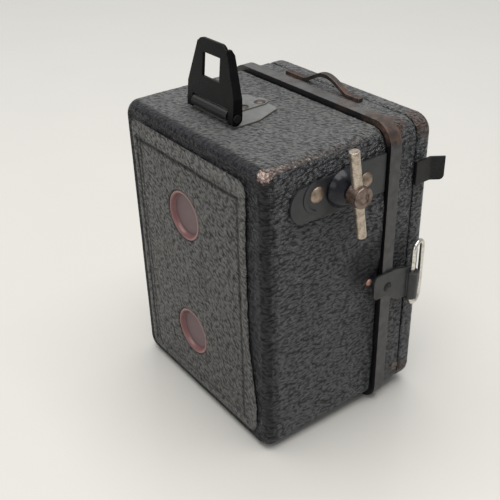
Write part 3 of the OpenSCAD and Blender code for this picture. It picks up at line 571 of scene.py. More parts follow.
def panel_left(z):
    """The wandering edge on the key side."""
    base = np.interp(z, [5, 9, 14, 22, 32, 45, 60, 70, 77], [-24.6, -25.3, -25.5, -24.6, -23.2, -22.9, -23.0, -23.4, -23.6])
    return base + 0.28 * perlin(z / 3.1, z * 0 + 4, 51) + 0.12 * perlin(z / 0.9, z * 0 + 8, 52)


def panel_right(z):
    return 25.9 + 0.15 * perlin(z / 4.0, z * 0 + 2, 53)


def make_panel():
    zb, zt, r = 4.9, 77.1, 2.6
    nz = 248
    tz = np.linspace(0, 1, nz + 1)
    z = zb + (zt - zb) * tz
    ns = 168
    ts = np.linspace(0, 1, ns + 1)
    L, Rr = panel_left(z), panel_right(z)
    e = np.minimum(z - zb, zt - z)
    cut = np.where(e < r, r - np.sqrt(np.maximum(0, r * r - (r - e) ** 2)), 0)
    L, Rr = L + cut, Rr - cut
    X = L[None, :] + (Rr - L)[None, :] * ts[:, None]
    Z = np.repeat(z[None, :], ns + 1, 0)
    # round window openings: move the nearest lattice points onto the circle
    hole = np.zeros((ns, nz), bool)
    rr = 6.82
    for wz in WZ:
        mx, mz = (X[:-1, :-1] + X[1:, 1:]) / 2, (Z[:-1, :-1] + Z[1:, 1:]) / 2
        hole |= np.hypot(mx - OX, mz - wz) < rr
    used = np.zeros((ns + 1, nz + 1), bool)
    drop = np.zeros((ns + 1, nz + 1), bool)
    for a in (0, 1):
        for b in (0, 1):
            used[a : ns + a, b : nz + b] |= ~hole
            drop[a : ns + a, b : nz + b] |= hole
    edge = used & drop
    for wz in WZ:
        d = np.hypot(X - OX, Z - wz)
        m = edge & (d < 9)
        X = np.where(m, OX + (X - OX) * rr / np.maximum(d, 1e-6), X)
        Z = np.where(m, wz + (Z - wz) * rr / np.maximum(d, 1e-6), Z)
    xs, zs = X.ravel(), Z.ravel()
    P = np.stack([xs, back_y(xs, zs), zs], 1)
    Nn = np.tile([0.0, 1.0, 0.0], (len(xs), 1))
    g = grain(P, Nn)
    Lz, Rz = panel_left(zs), panel_right(zs)
    border = np.minimum.reduce([xs - Lz, Rz - xs, zs - zb, zt - zs])
    win = np.minimum(np.hypot(xs - OX, zs - WZ[0]), np.hypot(xs - OX, zs - WZ[1])) - rr
    lip = np.minimum(step(-0.2, 1.1, border), 0.35 + 0.65 * step(0, 0.8, win))
    # pressed border lines: one across the top, two down the far side, one near the bottom and one faint on the key side
    def line(v, at, w):
        return np.exp(-(((v - at) / w) ** 2))
    inside_z = step(6, 8, zs) * (1 - step(71.5, 73, zs))
    inside_x = step(-21.5, -20, xs) * (1 - step(24.2, 25.2, xs))
    wob = 0.15 * perlin(xs / 5, zs / 5, 57)
    grooves = line(zs + wob, 72.1, 0.42) * inside_x
    grooves += 0.8 * line(xs + wob, 23.6, 0.33) * inside_z + 0.6 * line(xs + wob, 22.0, 0.30) * inside_z
    grooves += 0.5 * line(zs + wob, 8.2, 0.40) * inside_x
    grooves += 0.7 * line(xs + wob, -20.3, 0.40) * inside_z
    grooves = np.clip(grooves, 0, 1.2)
    outside = 1 - inside_z * inside_x
    ridge = 0.10 * np.exp(-(((border - 1.0) / 0.8) ** 2))
    amp = 0.19 * (1 - 0.45 * outside) * lip
    bulge = 0.10 * perlin(xs / 14, zs / 16 + 2, 58)
    h = -0.06 + 0.20 * lip + (g - 0.6) * amp - 0.26 * grooves * lip + 0.6 * ridge * lip + bulge * step(0, 4, border) * step(0, 4, win) * 0.8
    top = P.copy()
    top[:, 1] += h
    bot = P.copy()
    bot[:, 1] -= 0.06 + 0.5 * step(0.8, 3.0, border)
    idx = np.arange((ns + 1) * (nz + 1)).reshape(ns + 1, nz + 1)
    q = np.stack([idx[:-1, :-1], idx[:-1, 1:], idx[1:, 1:], idx[1:, :-1]], -1)[~hole]
    keep = np.unique(q)
    remap = -np.ones(idx.size, int)
    remap[keep] = np.arange(len(keep))
    q = remap[q]
    n = len(keep)
    edges = {}
    for a in range(4):
        for A, B in zip(q[:, a].tolist(), q[:, (a + 1) % 4].tolist()):
            if (B, A) in edges:
                del edges[(B, A)]
            else:
                edges[(A, B)] = True
    rim = np.array([(B, A, A + n, B + n) for A, B in edges])
    faces = np.concatenate([q, q[:, ::-1] + n, rim])
    verts = np.concatenate([top[keep], bot[keep]])
    # painted highlight: light is a lighter line along the raised border on the key side and a strip below the top edge,
    # fed into the same attribute as the dusty tops
    light = np.exp(-(((border - 1.3) / 1.2) ** 2)) * (xs < 0) + 0.7 * step(73.2, 74.2, zs) * (1 - step(76.2, 77, zs))
    # painted shade: the pressed grooves and the panel edge around the window holes are darkened; the perlin term adds
    # random darker patches
    dark = np.clip(0.95 * grooves + 0.0 * (1 - step(0.05, 0.5, border)) + 0.35 * (1 - step(0.0, 0.5, win)) + 0.25 * step(0.35, 0.8, perlin(xs / 9, zs / 13, 59)), 0, 1)
    attrs = {
        "grain": np.tile(g[keep], 2),
        "dark": np.tile(dark[keep], 2),
        "wear": np.tile(np.zeros(n), 2),
        "rust": np.tile(np.zeros(n), 2),
        "dust": np.tile(np.clip(0.45 * light, 0, 1)[keep], 2),
        "inside": np.concatenate([np.zeros(n), np.ones(n)]),
    }
    ob = outward(build_mesh("back_panel_skin", verts, faces, attrs))
    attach(ob, "rear_half")
    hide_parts("back_panel")
    return ob


panel = make_panel()


# ------------------------------------------------------------------ red windows, turned
def lathe(name, profile, cx, cz, seg=96):
    """Closed ring of profile points (radius, y) in mm turned about an axis along Y; the last and first points lie on the axis."""
    verts, faces = [], []
    rows = []
    for r, y in profile:
        if r < 1e-6:
            rows.append([len(verts)])
            verts.append((cx, y, cz))
        else:
            rows.append(list(range(len(verts), len(verts) + seg)))
            for a in range(seg):
                t = 2 * math.pi * a / seg
                verts.append((cx + r * math.cos(t), y, cz + r * math.sin(t)))
    for A, B in zip(rows, rows[1:]):
        for a in range(seg):
            b = (a + 1) % seg
            if len(A) == 1:
                faces.append((A[0], B[a], B[b], -1))
            elif len(B) == 1:
                faces.append((A[a], B[0], A[b], -1))
            else:
                faces.append((A[a], B[a], B[b], A[b]))
    ob = build_mesh(name, verts, faces)
    bm = bmesh.new()
    bm.from_mesh(ob.data)
    bmesh.ops.recalc_face_normals(bm, faces=bm.faces)
    bm.to_mesh(ob.data)
    bm.free()
    ob.data.polygons.foreach_set("use_smooth", np.ones(len(ob.data.polygons), bool))
    return ob


windows = []
for label, wz in zip(("upper", "lower"), WZ):
    y0 = float(win_lo[1])
    f = REAR - 1.30
    prof = [(0, y0), (6.0, y0), (6.62, y0 + 0.1), (6.68, f), (6.70, REAR - 0.30), (6.60, REAR - 0.08), (6.38, REAR + 0.02), (6.12, REAR - 0.03),
            (5.92, REAR - 0.20), (5.74, REAR - 0.55), (5.56, REAR - 0.98), (5.42, f + 0.10), (5.22, f + 0.02), (4.6, f), (3.0, f + 0.03), (1.4, f + 0.05), (0, f + 0.055)]
    w = lathe("red_window_" + label + "_dish", prof, OX, wz)
    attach(w, "rear_half")
    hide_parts("red_window_" + label)
    windows.append(w)


def tube(name, path, r, seg=12):
    """Closed tube of radius r along the points of path, all in mm, with rounded ends."""
    P = np.asarray(path, float)
    T = np.gradient(P, axis=0)
    T /= np.linalg.norm(T, axis=1)[:, None]
    n = np.cross(T[0], (0.0, 0.3, 1.0))
    frames = []
    for t in T:
        n = n - t * np.dot(n, t)
        n /= np.linalg.norm(n)
        frames.append((n, np.cross(t, n)))
    rings = [(P[0], frames[0], 0.55, -0.8 * r)] + [(p, f, 1.0, 0.0) for p, f in zip(P, frames)] + [(P[-1], frames[-1], 0.55, 0.8 * r)]
    verts, faces = [], []
    for j, (p, (a, b), k, push) in enumerate(rings):
        t = T[0] if j == 0 else T[-1]
        for q in range(seg):
            c = 2 * math.pi * q / seg
            verts.append(p + (t * push if push else 0) + k * r * (a * math.cos(c) + b * math.sin(c)))
    m = len(rings)
    for j in range(m - 1):
        for q in range(seg):
            q2 = (q + 1) % seg
            faces.append((j * seg + q, j * seg + q2, (j + 1) * seg + q2, (j + 1) * seg + q))
    for j in (0, m - 1):
        verts.append(np.mean(verts[j * seg:(j + 1) * seg], axis=0))
        c = len(verts) - 1
        faces += [(c, j * seg + q, j * seg + (q + 1) % seg, -1) for q in range(seg)]
    return outward(build_mesh(name, verts, faces))


# the key's spring has closed end coils and stays against the wall
(sx0, sy0, sz0), (sx1, sy1, sz1) = [[c / MM for c in corner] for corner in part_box("key_spring")]
s_r, s_w = (sy1 - sy0) / 2 - 0.26, 0.25
s_y, s_z = (sy0 + sy1) / 2, (sz0 + sz1) / 2
coil = []
for i in range(289):
    t = i / 288
    ease = np.interp(t, [0, 0.16, 0.84, 1], [0, 0.07, 0.93, 1])
    a = 2 * math.pi * 5 * t
    coil.append((sx0 + 1.1 * s_w + ease * (sx1 - sx0 - 2.2 * s_w), s_y + s_r * math.cos(a), s_z + s_r * math.sin(a)))
spring = tube("key_spring_coil", coil, s_w)
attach(spring, "rear_half")
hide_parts("key_spring")
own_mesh(spring)


# ------------------------------------------------------------------ node material kit
class Mat:
    def __init__(self, name):
        self.m = bpy.data.materials.new(name)
        self.m.use_nodes = True
        self.t = self.m.node_tree
        self.t.nodes.clear()
        self.out = self.t.nodes.new("ShaderNodeOutputMaterial")
        self.b = self.t.nodes.new("ShaderNodeBsdfPrincipled")
        self.t.links.new(self.b.outputs[0], self.out.inputs[0])
        tc = self.t.nodes.new("ShaderNodeTexCoord")
        s = self.t.nodes.new("ShaderNodeVectorMath")
        s.operation = "SCALE"
        self.t.links.new(tc.outputs["Object"], s.inputs[0])
        s.inputs["Scale"].default_value = 1000.0
        self.mm = s.outputs[0]  # object space in millimetres
        g = self.t.nodes.new("ShaderNodeNewGeometry")
        self.geo = g

    def put(self, sock, v):
        if isinstance(v, bpy.types.NodeSocket):
            self.t.links.new(v, sock)
        elif isinstance(v, (tuple, list)) and len(v) == 3 and len(sock.default_value) == 4:
            sock.default_value = (*v, 1.0)
        else:
            sock.default_value = v

    def node(self, kind, props=None, **ins):
        n = self.t.nodes.new(kind)
        for k, v in (props or {}).items():
            setattr(n, k, v)
        for k, v in ins.items():
            self.put(n.inputs[k.replace("_", " ")], v)
        return n

    def attr(self, name):
        n = self.node("ShaderNodeAttribute", {"attribute_type": "GEOMETRY", "attribute_name": name})
        return n.outputs["Fac"]

    def scaled(self, vec, s, rot=(0, 0, 0), loc=(0, 0, 0)):
        n = self.node("ShaderNodeMapping", None, Vector=vec)
        n.inputs["Scale"].default_value = s
        n.inputs["Rotation"].default_value = rot
        n.inputs["Location"].default_value = loc
        return n.outputs[0]

    def noise(self, scale, detail=3, rough=0.55, dist=0.0, vec=None):
        n = self.node("ShaderNodeTexNoise", None, Vector=vec or self.mm, Scale=scale, Detail=detail, Roughness=rough, Distortion=dist)
        return n.outputs["Fac"]

    def voronoi(self, scale, vec=None, feature="F1", rand=1.0):
        n = self.node("ShaderNodeTexVoronoi", {"feature": feature}, Vector=vec or self.mm, Scale=scale, Randomness=rand)
        return n.outputs["Distance"]

    def ramp(self, fac, *stops):
        """A smooth map of a number: pairs (at, value) of numbers or colours."""
        n = self.node("ShaderNodeValToRGB", None, Fac=fac)
        e = n.color_ramp.elements
        while len(e) < len(stops):
            e.new(0.5)
        for i, (p, c) in enumerate(stops):
            e[i].position = p
            c = (c, c, c) if isinstance(c, (int, float)) else c
            e[i].color = (*c, 1)
        return n.outputs["Color"]

    def math(self, op, a, b=0.0, clamp=False):
        n = self.node("ShaderNodeMath", {"operation": op, "use_clamp": clamp})
        self.put(n.inputs[0], a)
        self.put(n.inputs[1], b)
        return n.outputs[0]

    def mul(self, a, b):
        return self.math("MULTIPLY", a, b)

    def add(self, a, b, clamp=False):
        return self.math("ADD", a, b, clamp)

    def rng(self, v, a, b, c=0.0, d=1.0, smooth=True):
        n = self.node("ShaderNodeMapRange", {"interpolation_type": "SMOOTHSTEP" if smooth else "LINEAR"})
        for k, x in zip(("Value", "From Min", "From Max", "To Min", "To Max"), (v, a, b, c, d)):
            self.put(n.inputs[k], x)
        return n.outputs[0]

    def mix(self, fac, a, b, kind="MIX"):
        n = self.node("ShaderNodeMix", {"data_type": "RGBA", "blend_type": kind})
        self.put(n.inputs[0], fac)
        self.put(n.inputs[6], a)
        self.put(n.inputs[7], b)
        return n.outputs[2]

    def xyz(self, vec):
        n = self.node("ShaderNodeSeparateXYZ", None, Vector=vec)
        return n.outputs

    def dist(self, point):
        n = self.node("ShaderNodeVectorMath", {"operation": "DISTANCE"})
        self.put(n.inputs[0], self.mm)
        n.inputs[1].default_value = point
        return n.outputs["Value"]

    def edges(self, radius=0.25, lo=0.02, hi=0.22):
        """1 near sharp edges, from how far a rounded normal turns away from the real one."""
        bv = self.node("ShaderNodeBevel", {"samples": 4}, Radius=radius * MM)
        dot = self.node("ShaderNodeVectorMath", {"operation": "DOT_PRODUCT"})
        self.put(dot.inputs[0], bv.outputs[0])
        self.put(dot.inputs[1], self.geo.outputs["Normal"])
        one = self.math("SUBTRACT", 1.0, dot.outputs["Value"])
        return self.rng(one, lo, hi), bv.outputs[0]

    def bump(self, h, strength, dist=0.0001, normal=None):
        n = self.node("ShaderNodeBump", None, Height=h, Strength=strength, Distance=dist)
        if normal is not None:
            self.put(n.inputs["Normal"], normal)
        return n.outputs[0]

    def set(self, **ins):
        for k, v in ins.items():
            self.put(self.b.inputs[k.replace("_", " ")], v)
        return self.m


def leather(name, ridge, crease_shade, tint):
    k = Mat(name)
    g, dark, wear, rust, dust = (k.attr(a) for a in ("grain", "dark", "wear", "rust", "dust"))
    tc = k.node("ShaderNodeTexCoord")
    ax = k.xyz(tc.outputs["Normal"])
    wob = k.node("ShaderNodeTexNoise", None, Vector=k.mm, Scale=0.42, Detail=2.0, Roughness=0.6)
    off = k.node("ShaderNodeVectorMath", {"operation": "SUBTRACT"})
    k.put(off.inputs[0], wob.outputs["Color"])
    off.inputs[1].default_value = (0.5, 0.5, 0.5)
    amt = k.node("ShaderNodeVectorMath", {"operation": "SCALE"})
    k.put(amt.inputs[0], off.outputs[0])
    amt.inputs["Scale"].default_value = 0.7
    ww = k.node("ShaderNodeVectorMath", {"operation": "ADD"})
    k.put(ww.inputs[0], k.mm)
    k.put(ww.inputs[1], amt.outputs[0])

    def dot(vec):
        d = k.node("ShaderNodeVectorMath", {"operation": "DOT_PRODUCT"})
        k.put(d.inputs[0], ww.outputs[0])
        d.inputs[1].default_value = vec
        return d.outputs["Value"]

    def wrinkles(along, across, depth, seed):
        """Short overlapping wrinkles that run one way, as domes and strokes."""
        c = k.node("ShaderNodeCombineXYZ")
        k.put(c.inputs[0], k.add(dot(along), seed))
        k.put(c.inputs[1], dot(across))
        k.put(c.inputs[2], k.mul(dot(depth), 0.12))
        s1 = k.scaled(c.outputs[0], (1 / 1.45, 1 / 0.78, 0.35))
        v = k.node("ShaderNodeTexVoronoi", {"feature": "F1", "voronoi_dimensions": "2D"}, Vector=s1, Scale=1.0, Randomness=1.0)
        dome = k.rng(v.outputs["Distance"], 0.05, 0.80, 1.0, 0.0)
        s2 = k.scaled(c.outputs[0], (1 / 0.95, 1 / 0.36, 0.4))
        strokes = k.rng(k.noise(1.0, 2.0, 0.55, 0.0, s2), 0.30, 0.70, 0, 1, False)
        return k.add(k.mul(dome, 0.36), k.mul(strokes, 0.64))

    def unit(a, b):
        n = math.hypot(a, b)
        return a / n, b / n

    a, b = unit(-1, 0.04)
    hx = wrinkles((0, a, b), (0, -b, a), (1, 0, 0), 0.0)
    a, b = unit(-1, -0.62)
    hy = wrinkles((a, 0, b), (-b, 0, a), (0, 1, 0), 40.0)
    a, b = unit(1, 0.917)
    hz = wrinkles((a, b, 0), (-b, a, 0), (0, 0, 1), 80.0)
    wx, wy, wz = (k.math("POWER", k.math("ABSOLUTE", ax[i]), 4.0) for i in range(3))
    tot = k.add(k.add(wx, wy), wz)
    h = k.add(k.add(k.mul(hx, wx), k.mul(hy, wy)), k.mul(hz, wz))
    h = k.math("DIVIDE", h, tot)
    tiny = k.noise(7.0, 3, 0.65)
    big = k.noise(0.07, 3, 0.5)
    mid = k.noise(0.22, 3, 0.55)
    ht = k.add(k.mul(h, 0.75), k.mul(g, 0.25))
    # painted shade: tone mixes toward the near-black crease colour in the grain's low parts, shade in the creases; the
    # ridges take the lighter colour
    tone = k.rng(ht, 0.34, 0.61, 0, 1, False)
    col = k.mix(tone, crease_shade, ridge)
    col = k.mix(k.rng(big, 0.35, 0.7, 0.0, 0.6), col, k.mix(1.0, col, tint, "MULTIPLY"))
    # what faces up turns dusty, the ridges first; on the back panel the same mix paints a highlight along its border
    # and its top strip
    dusty = k.mul(dust, k.rng(k.add(ht, k.mul(mid, 0.6)), 0.55, 1.05, 0.15, 0.95))
    col = k.mix(k.mul(dusty, 0.62), col, (0.200, 0.200, 0.190))
    # rolled edges: smooth and dark; the same mask also brings in painted shade (rounded top edges, the patch beside the
    # rim, the panel's grooves and window edges), and within it the creases stay darker as painted shade
    col = k.mix(k.mul(dark, 0.92), col, k.mix(tone, (0.006, 0.006, 0.008), (0.014, 0.014, 0.017)))
    # flecks of bare metal where the covering is rubbed through
    rub = k.add(k.mul(wear, 0.50), k.mul(k.noise(1.9, 4, 0.75), 0.72))
    fleck = k.rng(rub, 0.735, 0.775)
    halo = k.rng(rub, 0.62, 0.75)
    col = k.mix(k.mul(halo, 0.55), col, (0.060, 0.040, 0.032))
    metal_c = k.mix(k.rng(k.noise(1.7, 3), 0.38, 0.72), (0.10, 0.068, 0.062), (0.50, 0.40, 0.35))
    col = k.mix(fleck, col, metal_c)
    # rust bleeding through
    rn = k.rng(k.add(k.mul(rust, 0.65), k.mul(k.noise(0.9, 4, 0.65), 0.55)), 0.48, 0.85)
    col = k.mix(k.mul(rn, 0.85), col, k.mix(k.rng(k.noise(1.6, 3), 0.35, 0.8), (0.030, 0.018, 0.014), (0.135, 0.078, 0.052)))
    rough = k.add(k.rng(tone, 0, 1, 0.50, 0.31, False), k.mul(k.math("SUBTRACT", tiny, 0.5), 0.16))
    rough = k.math("SUBTRACT", rough, k.mul(dark, 0.12))
    rough = k.add(rough, k.mul(dusty, 0.18))
    rough = k.add(rough, k.mul(rn, 0.25), True)
    soft = k.math("SUBTRACT", 1.0, k.mul(dark, 0.84))
    nrm = k.bump(k.add(k.mul(h, soft), k.mul(tiny, 0.03)), 1.0, 0.0014)
    spec = k.add(k.mul(k.rng(tone, 0, 1, 0.35, 0.95, False), k.math("SUBTRACT", 1.0, dark)), k.mul(k.rng(tone, 0, 1, 0.10, 0.22, False), dark))
    return k.set(Base_Color=col, Roughness=rough, Metallic=k.mul(fleck, 0.35), Specular_IOR_Level=spec, Sheen_Weight=k.mul(dust, 0.10), Sheen_Roughness=0.5, Normal=nrm)


def painted(name, base, light, rough=0.45, edge_wear_and_shade=0.5, edge_col=(0.28, 0.24, 0.20), dusty=0.0, rear_face_shade=False, rusts=(), spec=0.5, coat=0.0, mottle=0.35, edge_wear_and_shade_lo=0.52, black_above=0.0):
    """Enamel on steel: mottled, dusty on top, rubbed at its edges, and rusty around the given points; the edge mark can
    instead be a near-black painted shade outline, and faces turned to the back can be made near black as painted shade.
    """
    k = Mat(name)
    e, bn = k.edges()
    n1, n2, n3 = k.noise(0.45, 4, 0.6), k.noise(2.2, 4, 0.65), k.noise(11, 2)
    col = k.mix(k.rng(n1, 0.3, 0.75), base, light)
    col = k.mix(k.mul(k.rng(n2, 0.52, 0.72), mottle), col, tuple(c * 0.45 for c in base))
    if black_above:
        tall = k.rng(k.xyz(k.mm)[2], black_above, black_above + 0.5)
        col = k.mix(tall, col, (0.004, 0.004, 0.005))
    if dusty:
        up = k.rng(k.xyz(k.geo.outputs["Normal"])[2], 0.55, 0.95)
        d = k.mul(up, k.rng(n2, 0.25, 0.75, 0.55, 1.0))
        col = k.mix(k.mul(d, dusty), col, (0.20, 0.20, 0.19))
    # painted shade: faces turned to the back are made near black, standing in for the shade on the rim's rear step
    if rear_face_shade:
        tc = k.node("ShaderNodeTexCoord")
        back = k.rng(k.xyz(tc.outputs["Normal"])[1], 0.55, 0.85)
        col = k.mix(back, col, (0.004, 0.004, 0.006))
    rn = None
    for (p, r, a) in rusts:
        v = k.mul(k.rng(k.dist(p), r, r * 0.25), a)
        rn = v if rn is None else k.add(rn, v, True)
    met = 0.0
    ro = k.add(rough, k.mul(k.math("SUBTRACT", n2, 0.5), 0.30))
    if rn is not None:
        m = k.rng(k.add(k.mul(rn, 0.7), k.mul(n2, 0.55)), 0.52, 0.86)
        col = k.mix(k.mul(m, 0.9), col, k.mix(k.rng(n1, 0.35, 0.8), (0.028, 0.016, 0.012), (0.130, 0.072, 0.048)))
        ro = k.add(ro, k.mul(m, 0.3), True)
    # the edge mark is rubbed wear for most paints; for the key plate it is a near-black outline, painted shade in the
    # gap around the plate
    if edge_wear_and_shade:
        w = k.mul(e, k.rng(k.add(n2, k.mul(n1, 0.4)), edge_wear_and_shade_lo, edge_wear_and_shade_lo + 0.25))
        w = k.mul(w, edge_wear_and_shade)
        col = k.mix(w, col, edge_col)
        met = k.mul(w, 0.6)
    nrm = k.bump(k.add(k.mul(n2, 0.6), k.mul(n3, 0.4)), 0.22, 0.00006, bn)
    return k.set(Base_Color=col, Roughness=ro, Metallic=met, Specular_IOR_Level=spec, Coat_Weight=coat, Coat_Roughness=0.12, Normal=nrm)


def metal(name, bright, dull, rough=0.3, pits=0.5, dark_patch=(0.10, 0.06, 0.035), metallic=0.9, streak=None, scale=1.0):
    """Bare or plated metal with pits, tarnish and fine scratches."""
    k = Mat(name)
    e, bn = k.edges(0.12, 0.02, 0.3)
    vec = k.mm if streak is None else k.scaled(k.mm, streak)
    n1, n2, n3 = k.noise(0.8 * scale, 4, 0.6), k.noise(3.4 * scale, 4, 0.7), k.noise(5.0, 3, 0.6, 0, vec)
    col = k.mix(k.rng(n1, 0.35, 0.70), bright, dull)
    pit = k.mul(k.rng(n2, 0.56, 0.68), pits)
    col = k.mix(pit, col, dark_patch)
    ro = k.add(k.add(rough, k.mul(k.math("SUBTRACT", n3, 0.5), 0.25)), k.mul(pit, 0.35), True)
    met = k.math("SUBTRACT", metallic, k.mul(pit, 0.55))
    nrm = k.bump(k.add(k.mul(n3, 0.35), k.mul(pit, -0.7)), 0.30, 0.00007, bn)
    return k.set(Base_Color=col, Roughness=ro, Metallic=met, Normal=nrm)


def window(name):
    """Faded red celluloid, dusty on its floor, glossy on its raised ring, with painted shade at the foot of the ring
    wall and at its outer edge and a painted highlight on its crest.
    """
    k = Mat(name)
    s = k.xyz(k.mm)
    dx = k.math("SUBTRACT", s[0], float(OX))
    out = None
    for wz in WZ:
        dz = k.math("SUBTRACT", s[2], float(wz))
        r = k.math("SQRT", k.add(k.mul(dx, dx), k.mul(dz, dz)))
        out = r if out is None else k.math("MINIMUM", out, r)
    ring = k.rng(out, 5.30, 5.55)
    n1, n2 = k.noise(0.5, 3), k.noise(6.0, 3, 0.6)
    floor = k.mix(n1, (0.125, 0.082, 0.086), (0.160, 0.112, 0.112))
    floor = k.mix(k.rng(n2, 0.55, 0.75, 0, 0.35), floor, (0.20, 0.155, 0.150))
    # painted shade: the floor darkens where it meets the wall of the ring
    floor = k.mix(k.rng(out, 4.6, 5.4, 0, 0.6), floor, (0.060, 0.030, 0.036))
    ringc = k.mix(n1, (0.150, 0.062, 0.064), (0.205, 0.095, 0.092))
    # painted highlight: a lighter band on the crest of the ring
    ringc = k.mix(k.rng(out, 6.1, 6.5), ringc, (0.27, 0.165, 0.155))
    # painted shade: the outer edge of the ring, down into the gap to the covering, is darkened
    ringc = k.mix(k.rng(out, 6.5, 6.68), ringc, (0.06, 0.035, 0.036))
    col = k.mix(ring, floor, ringc)
    ro = k.rng(ring, 0, 1, 0.62, 0.30)
    nrm = k.bump(n2, 0.10, 0.00005)
    return k.set(Base_Color=col, Roughness=ro, Specular_IOR_Level=0.45, Subsurface_Weight=0.0, Normal=nrm)


def glass(name):
    k = Mat(name)
    n = k.noise(0.6, 3)
    sm = k.noise(4.0, 2)
    ro = k.rng(k.add(n, k.mul(sm, 0.3)), 0.55, 0.9, 0.02, 0.14)
    return k.set(Base_Color=(0.93, 0.97, 0.99), Roughness=ro, Transmission_Weight=1.0, IOR=1.5, Coat_Weight=0.25, Coat_Roughness=0.05, Coat_Tint=(0.75, 0.7, 1.0))


M = {}
M["leatherette"] = leather("leatherette", (0.052, 0.0555, 0.062), (0.0045, 0.005, 0.0065), (0.92, 0.97, 1.06))
M["panel_leatherette"] = leather("panel_leatherette", (0.074, 0.073, 0.069), (0.006, 0.0065, 0.006), (1.03, 1.0, 0.93))
M["shell_paint"] = painted("shell_paint", (0.020, 0.020, 0.022), (0.032, 0.032, 0.034), 0.42, 0.8)
M["section_paint"] = painted("section_paint", (0.016, 0.016, 0.017), (0.028, 0.026, 0.025), 0.5, 0.5)
# painted shade: the rim's rear step, facing the back, is made near black
M["rim_paint"] = painted(
    "rim_paint", (0.026, 0.026, 0.029), (0.066, 0.065, 0.065), 0.38, 0.90, (0.25, 0.20, 0.16), dusty=0.25, rear_face_shade=True,
    rusts=[((-29.5, 0.5, 80.5), 5.5, 1.0), ((-31.2, 1.0, 72), 3.5, 0.25), ((8, -0.9, 83), 7, 0.55), ((-3, -0.9, 83), 6, 0.5), ((-14, -0.6, 83), 8, 0.6), ((22, -0.9, 83), 6, 0.4), ((-24, 0.6, 82.6), 6, 0.7), ((-31.3, 0.6, 3), 4, 0.4)],
)
# painted shade: the key plate's edge mark is a near-black outline
M["plate_paint"] = painted("plate_paint", (0.015, 0.016, 0.019), (0.028, 0.029, 0.033), 0.34, 0.95, (0.0015, 0.0015, 0.0025), mottle=0.35, edge_wear_and_shade_lo=0.05)
M["lug_paint"] = painted("lug_paint", (0.014, 0.015, 0.017), (0.030, 0.031, 0.033), 0.36, 0.5, (0.30, 0.28, 0.25), mottle=0.25, rusts=[((-32, 4.9, 37.6), 2.2, 0.6)])
M["hinge_paint"] = painted("hinge_paint", (0.030, 0.030, 0.032), (0.05, 0.05, 0.052), 0.4, 0.7, (0.30, 0.27, 0.24))
M["finder_paint"] = painted("finder_paint", (0.0020, 0.0019, 0.0026), (0.0045, 0.0042, 0.0048), 0.30, 0.60, (0.080, 0.060, 0.047), mottle=0.2, edge_wear_and_shade_lo=0.48, spec=0.12)
M["finder_base_paint"] = painted(
    "finder_base_paint", (0.105, 0.110, 0.108), (0.150, 0.152, 0.146), 0.45, 0.9, (0.16, 0.085, 0.050), mottle=0.30, dusty=0.35,
    rusts=[((12.6, 22, 81.8), 3.5, 0.5), ((-6.4, 22, 81.8), 3.0, 0.5), ((3.1, 27.5, 82), 7.5, 0.45)], edge_wear_and_shade_lo=0.30, black_above=82.6,
)
M["gloss_black"] = painted("gloss_black", (0.006, 0.0065, 0.010), (0.014, 0.015, 0.022), 0.22, 0.5, (0.30, 0.22, 0.17), mottle=0.3, coat=0.12, spec=0.22, rusts=[((-31, 13.8, 74.6), 2.4, 0.8)])
M["lever_paint"] = painted("lever_paint", (0.006, 0.006, 0.007), (0.012, 0.012, 0.013), 0.30, 0.30, (0.10, 0.09, 0.08), mottle=0.2, spec=0.25)
M["lens_black"] = painted("lens_black", (0.010, 0.010, 0.011), (0.018, 0.018, 0.019), 0.25, 0.9, (0.42, 0.34, 0.20), mottle=0.2, coat=0.4)
M["inside_black"] = painted("inside_black", (0.012, 0.012, 0.012), (0.020, 0.020, 0.020), 0.72, 0.35, (0.16, 0.15, 0.14), spec=0.3)
M["spool_black"] = painted("spool_black", (0.016, 0.015, 0.015), (0.030, 0.028, 0.027), 0.35, 0.9, (0.36, 0.33, 0.30))
M["rusty_steel"] = painted("rusty_steel", (0.016, 0.0125, 0.011), (0.044, 0.032, 0.027), 0.46, 0.9, (0.30, 0.24, 0.20), mottle=0.6, rusts=[((12, -4.9, 82), 5.5, 0.9), ((-9, -4.9, 83), 7, 0.9), ((3, -4.9, 85), 5, 0.35)], edge_wear_and_shade_lo=0.5)
M["bar_nickel"] = metal("bar_nickel", (0.56, 0.48, 0.40), (0.30, 0.245, 0.195), 0.27, 1.0, (0.085, 0.055, 0.038), 0.85)
M["hub_brown"] = metal("hub_brown", (0.25, 0.185, 0.155), (0.095, 0.066, 0.052), 0.30, 1.0, (0.030, 0.020, 0.016), 0.75)
M["rivet_bronze"] = metal("rivet_bronze", (0.36, 0.28, 0.215), (0.22, 0.165, 0.125), 0.34, 0.8, (0.07, 0.045, 0.03), 0.8)
M["rivet_dark"] = metal("rivet_dark", (0.115, 0.100, 0.088), (0.060, 0.050, 0.043), 0.42, 0.9, (0.045, 0.028, 0.020), 0.6)
M["stud_red"] = metal("stud_red", (0.42, 0.25, 0.20), (0.28, 0.16, 0.12), 0.42, 0.8, (0.10, 0.05, 0.035), 0.6)
M["ring_nickel"] = metal("ring_nickel", (0.78, 0.76, 0.72), (0.56, 0.52, 0.46), 0.20, 0.65, (0.20, 0.13, 0.08), 0.95)
M["spring_steel"] = metal("spring_steel", (0.46, 0.46, 0.47), (0.33, 0.33, 0.33), 0.30, 0.4, (0.14, 0.09, 0.06), 0.95)
M["leaf_grey"] = metal("leaf_grey", (0.20, 0.205, 0.20), (0.14, 0.14, 0.135), 0.42, 0.7, (0.09, 0.06, 0.04), 0.35)
M["screw_brown"] = metal("screw_brown", (0.20, 0.165, 0.14), (0.11, 0.085, 0.07), 0.42, 0.9, (0.05, 0.03, 0.022), 0.6)
M["brass"] = metal("brass", (0.66, 0.50, 0.25), (0.46, 0.33, 0.15), 0.28, 0.5, (0.14, 0.08, 0.035), 0.95)
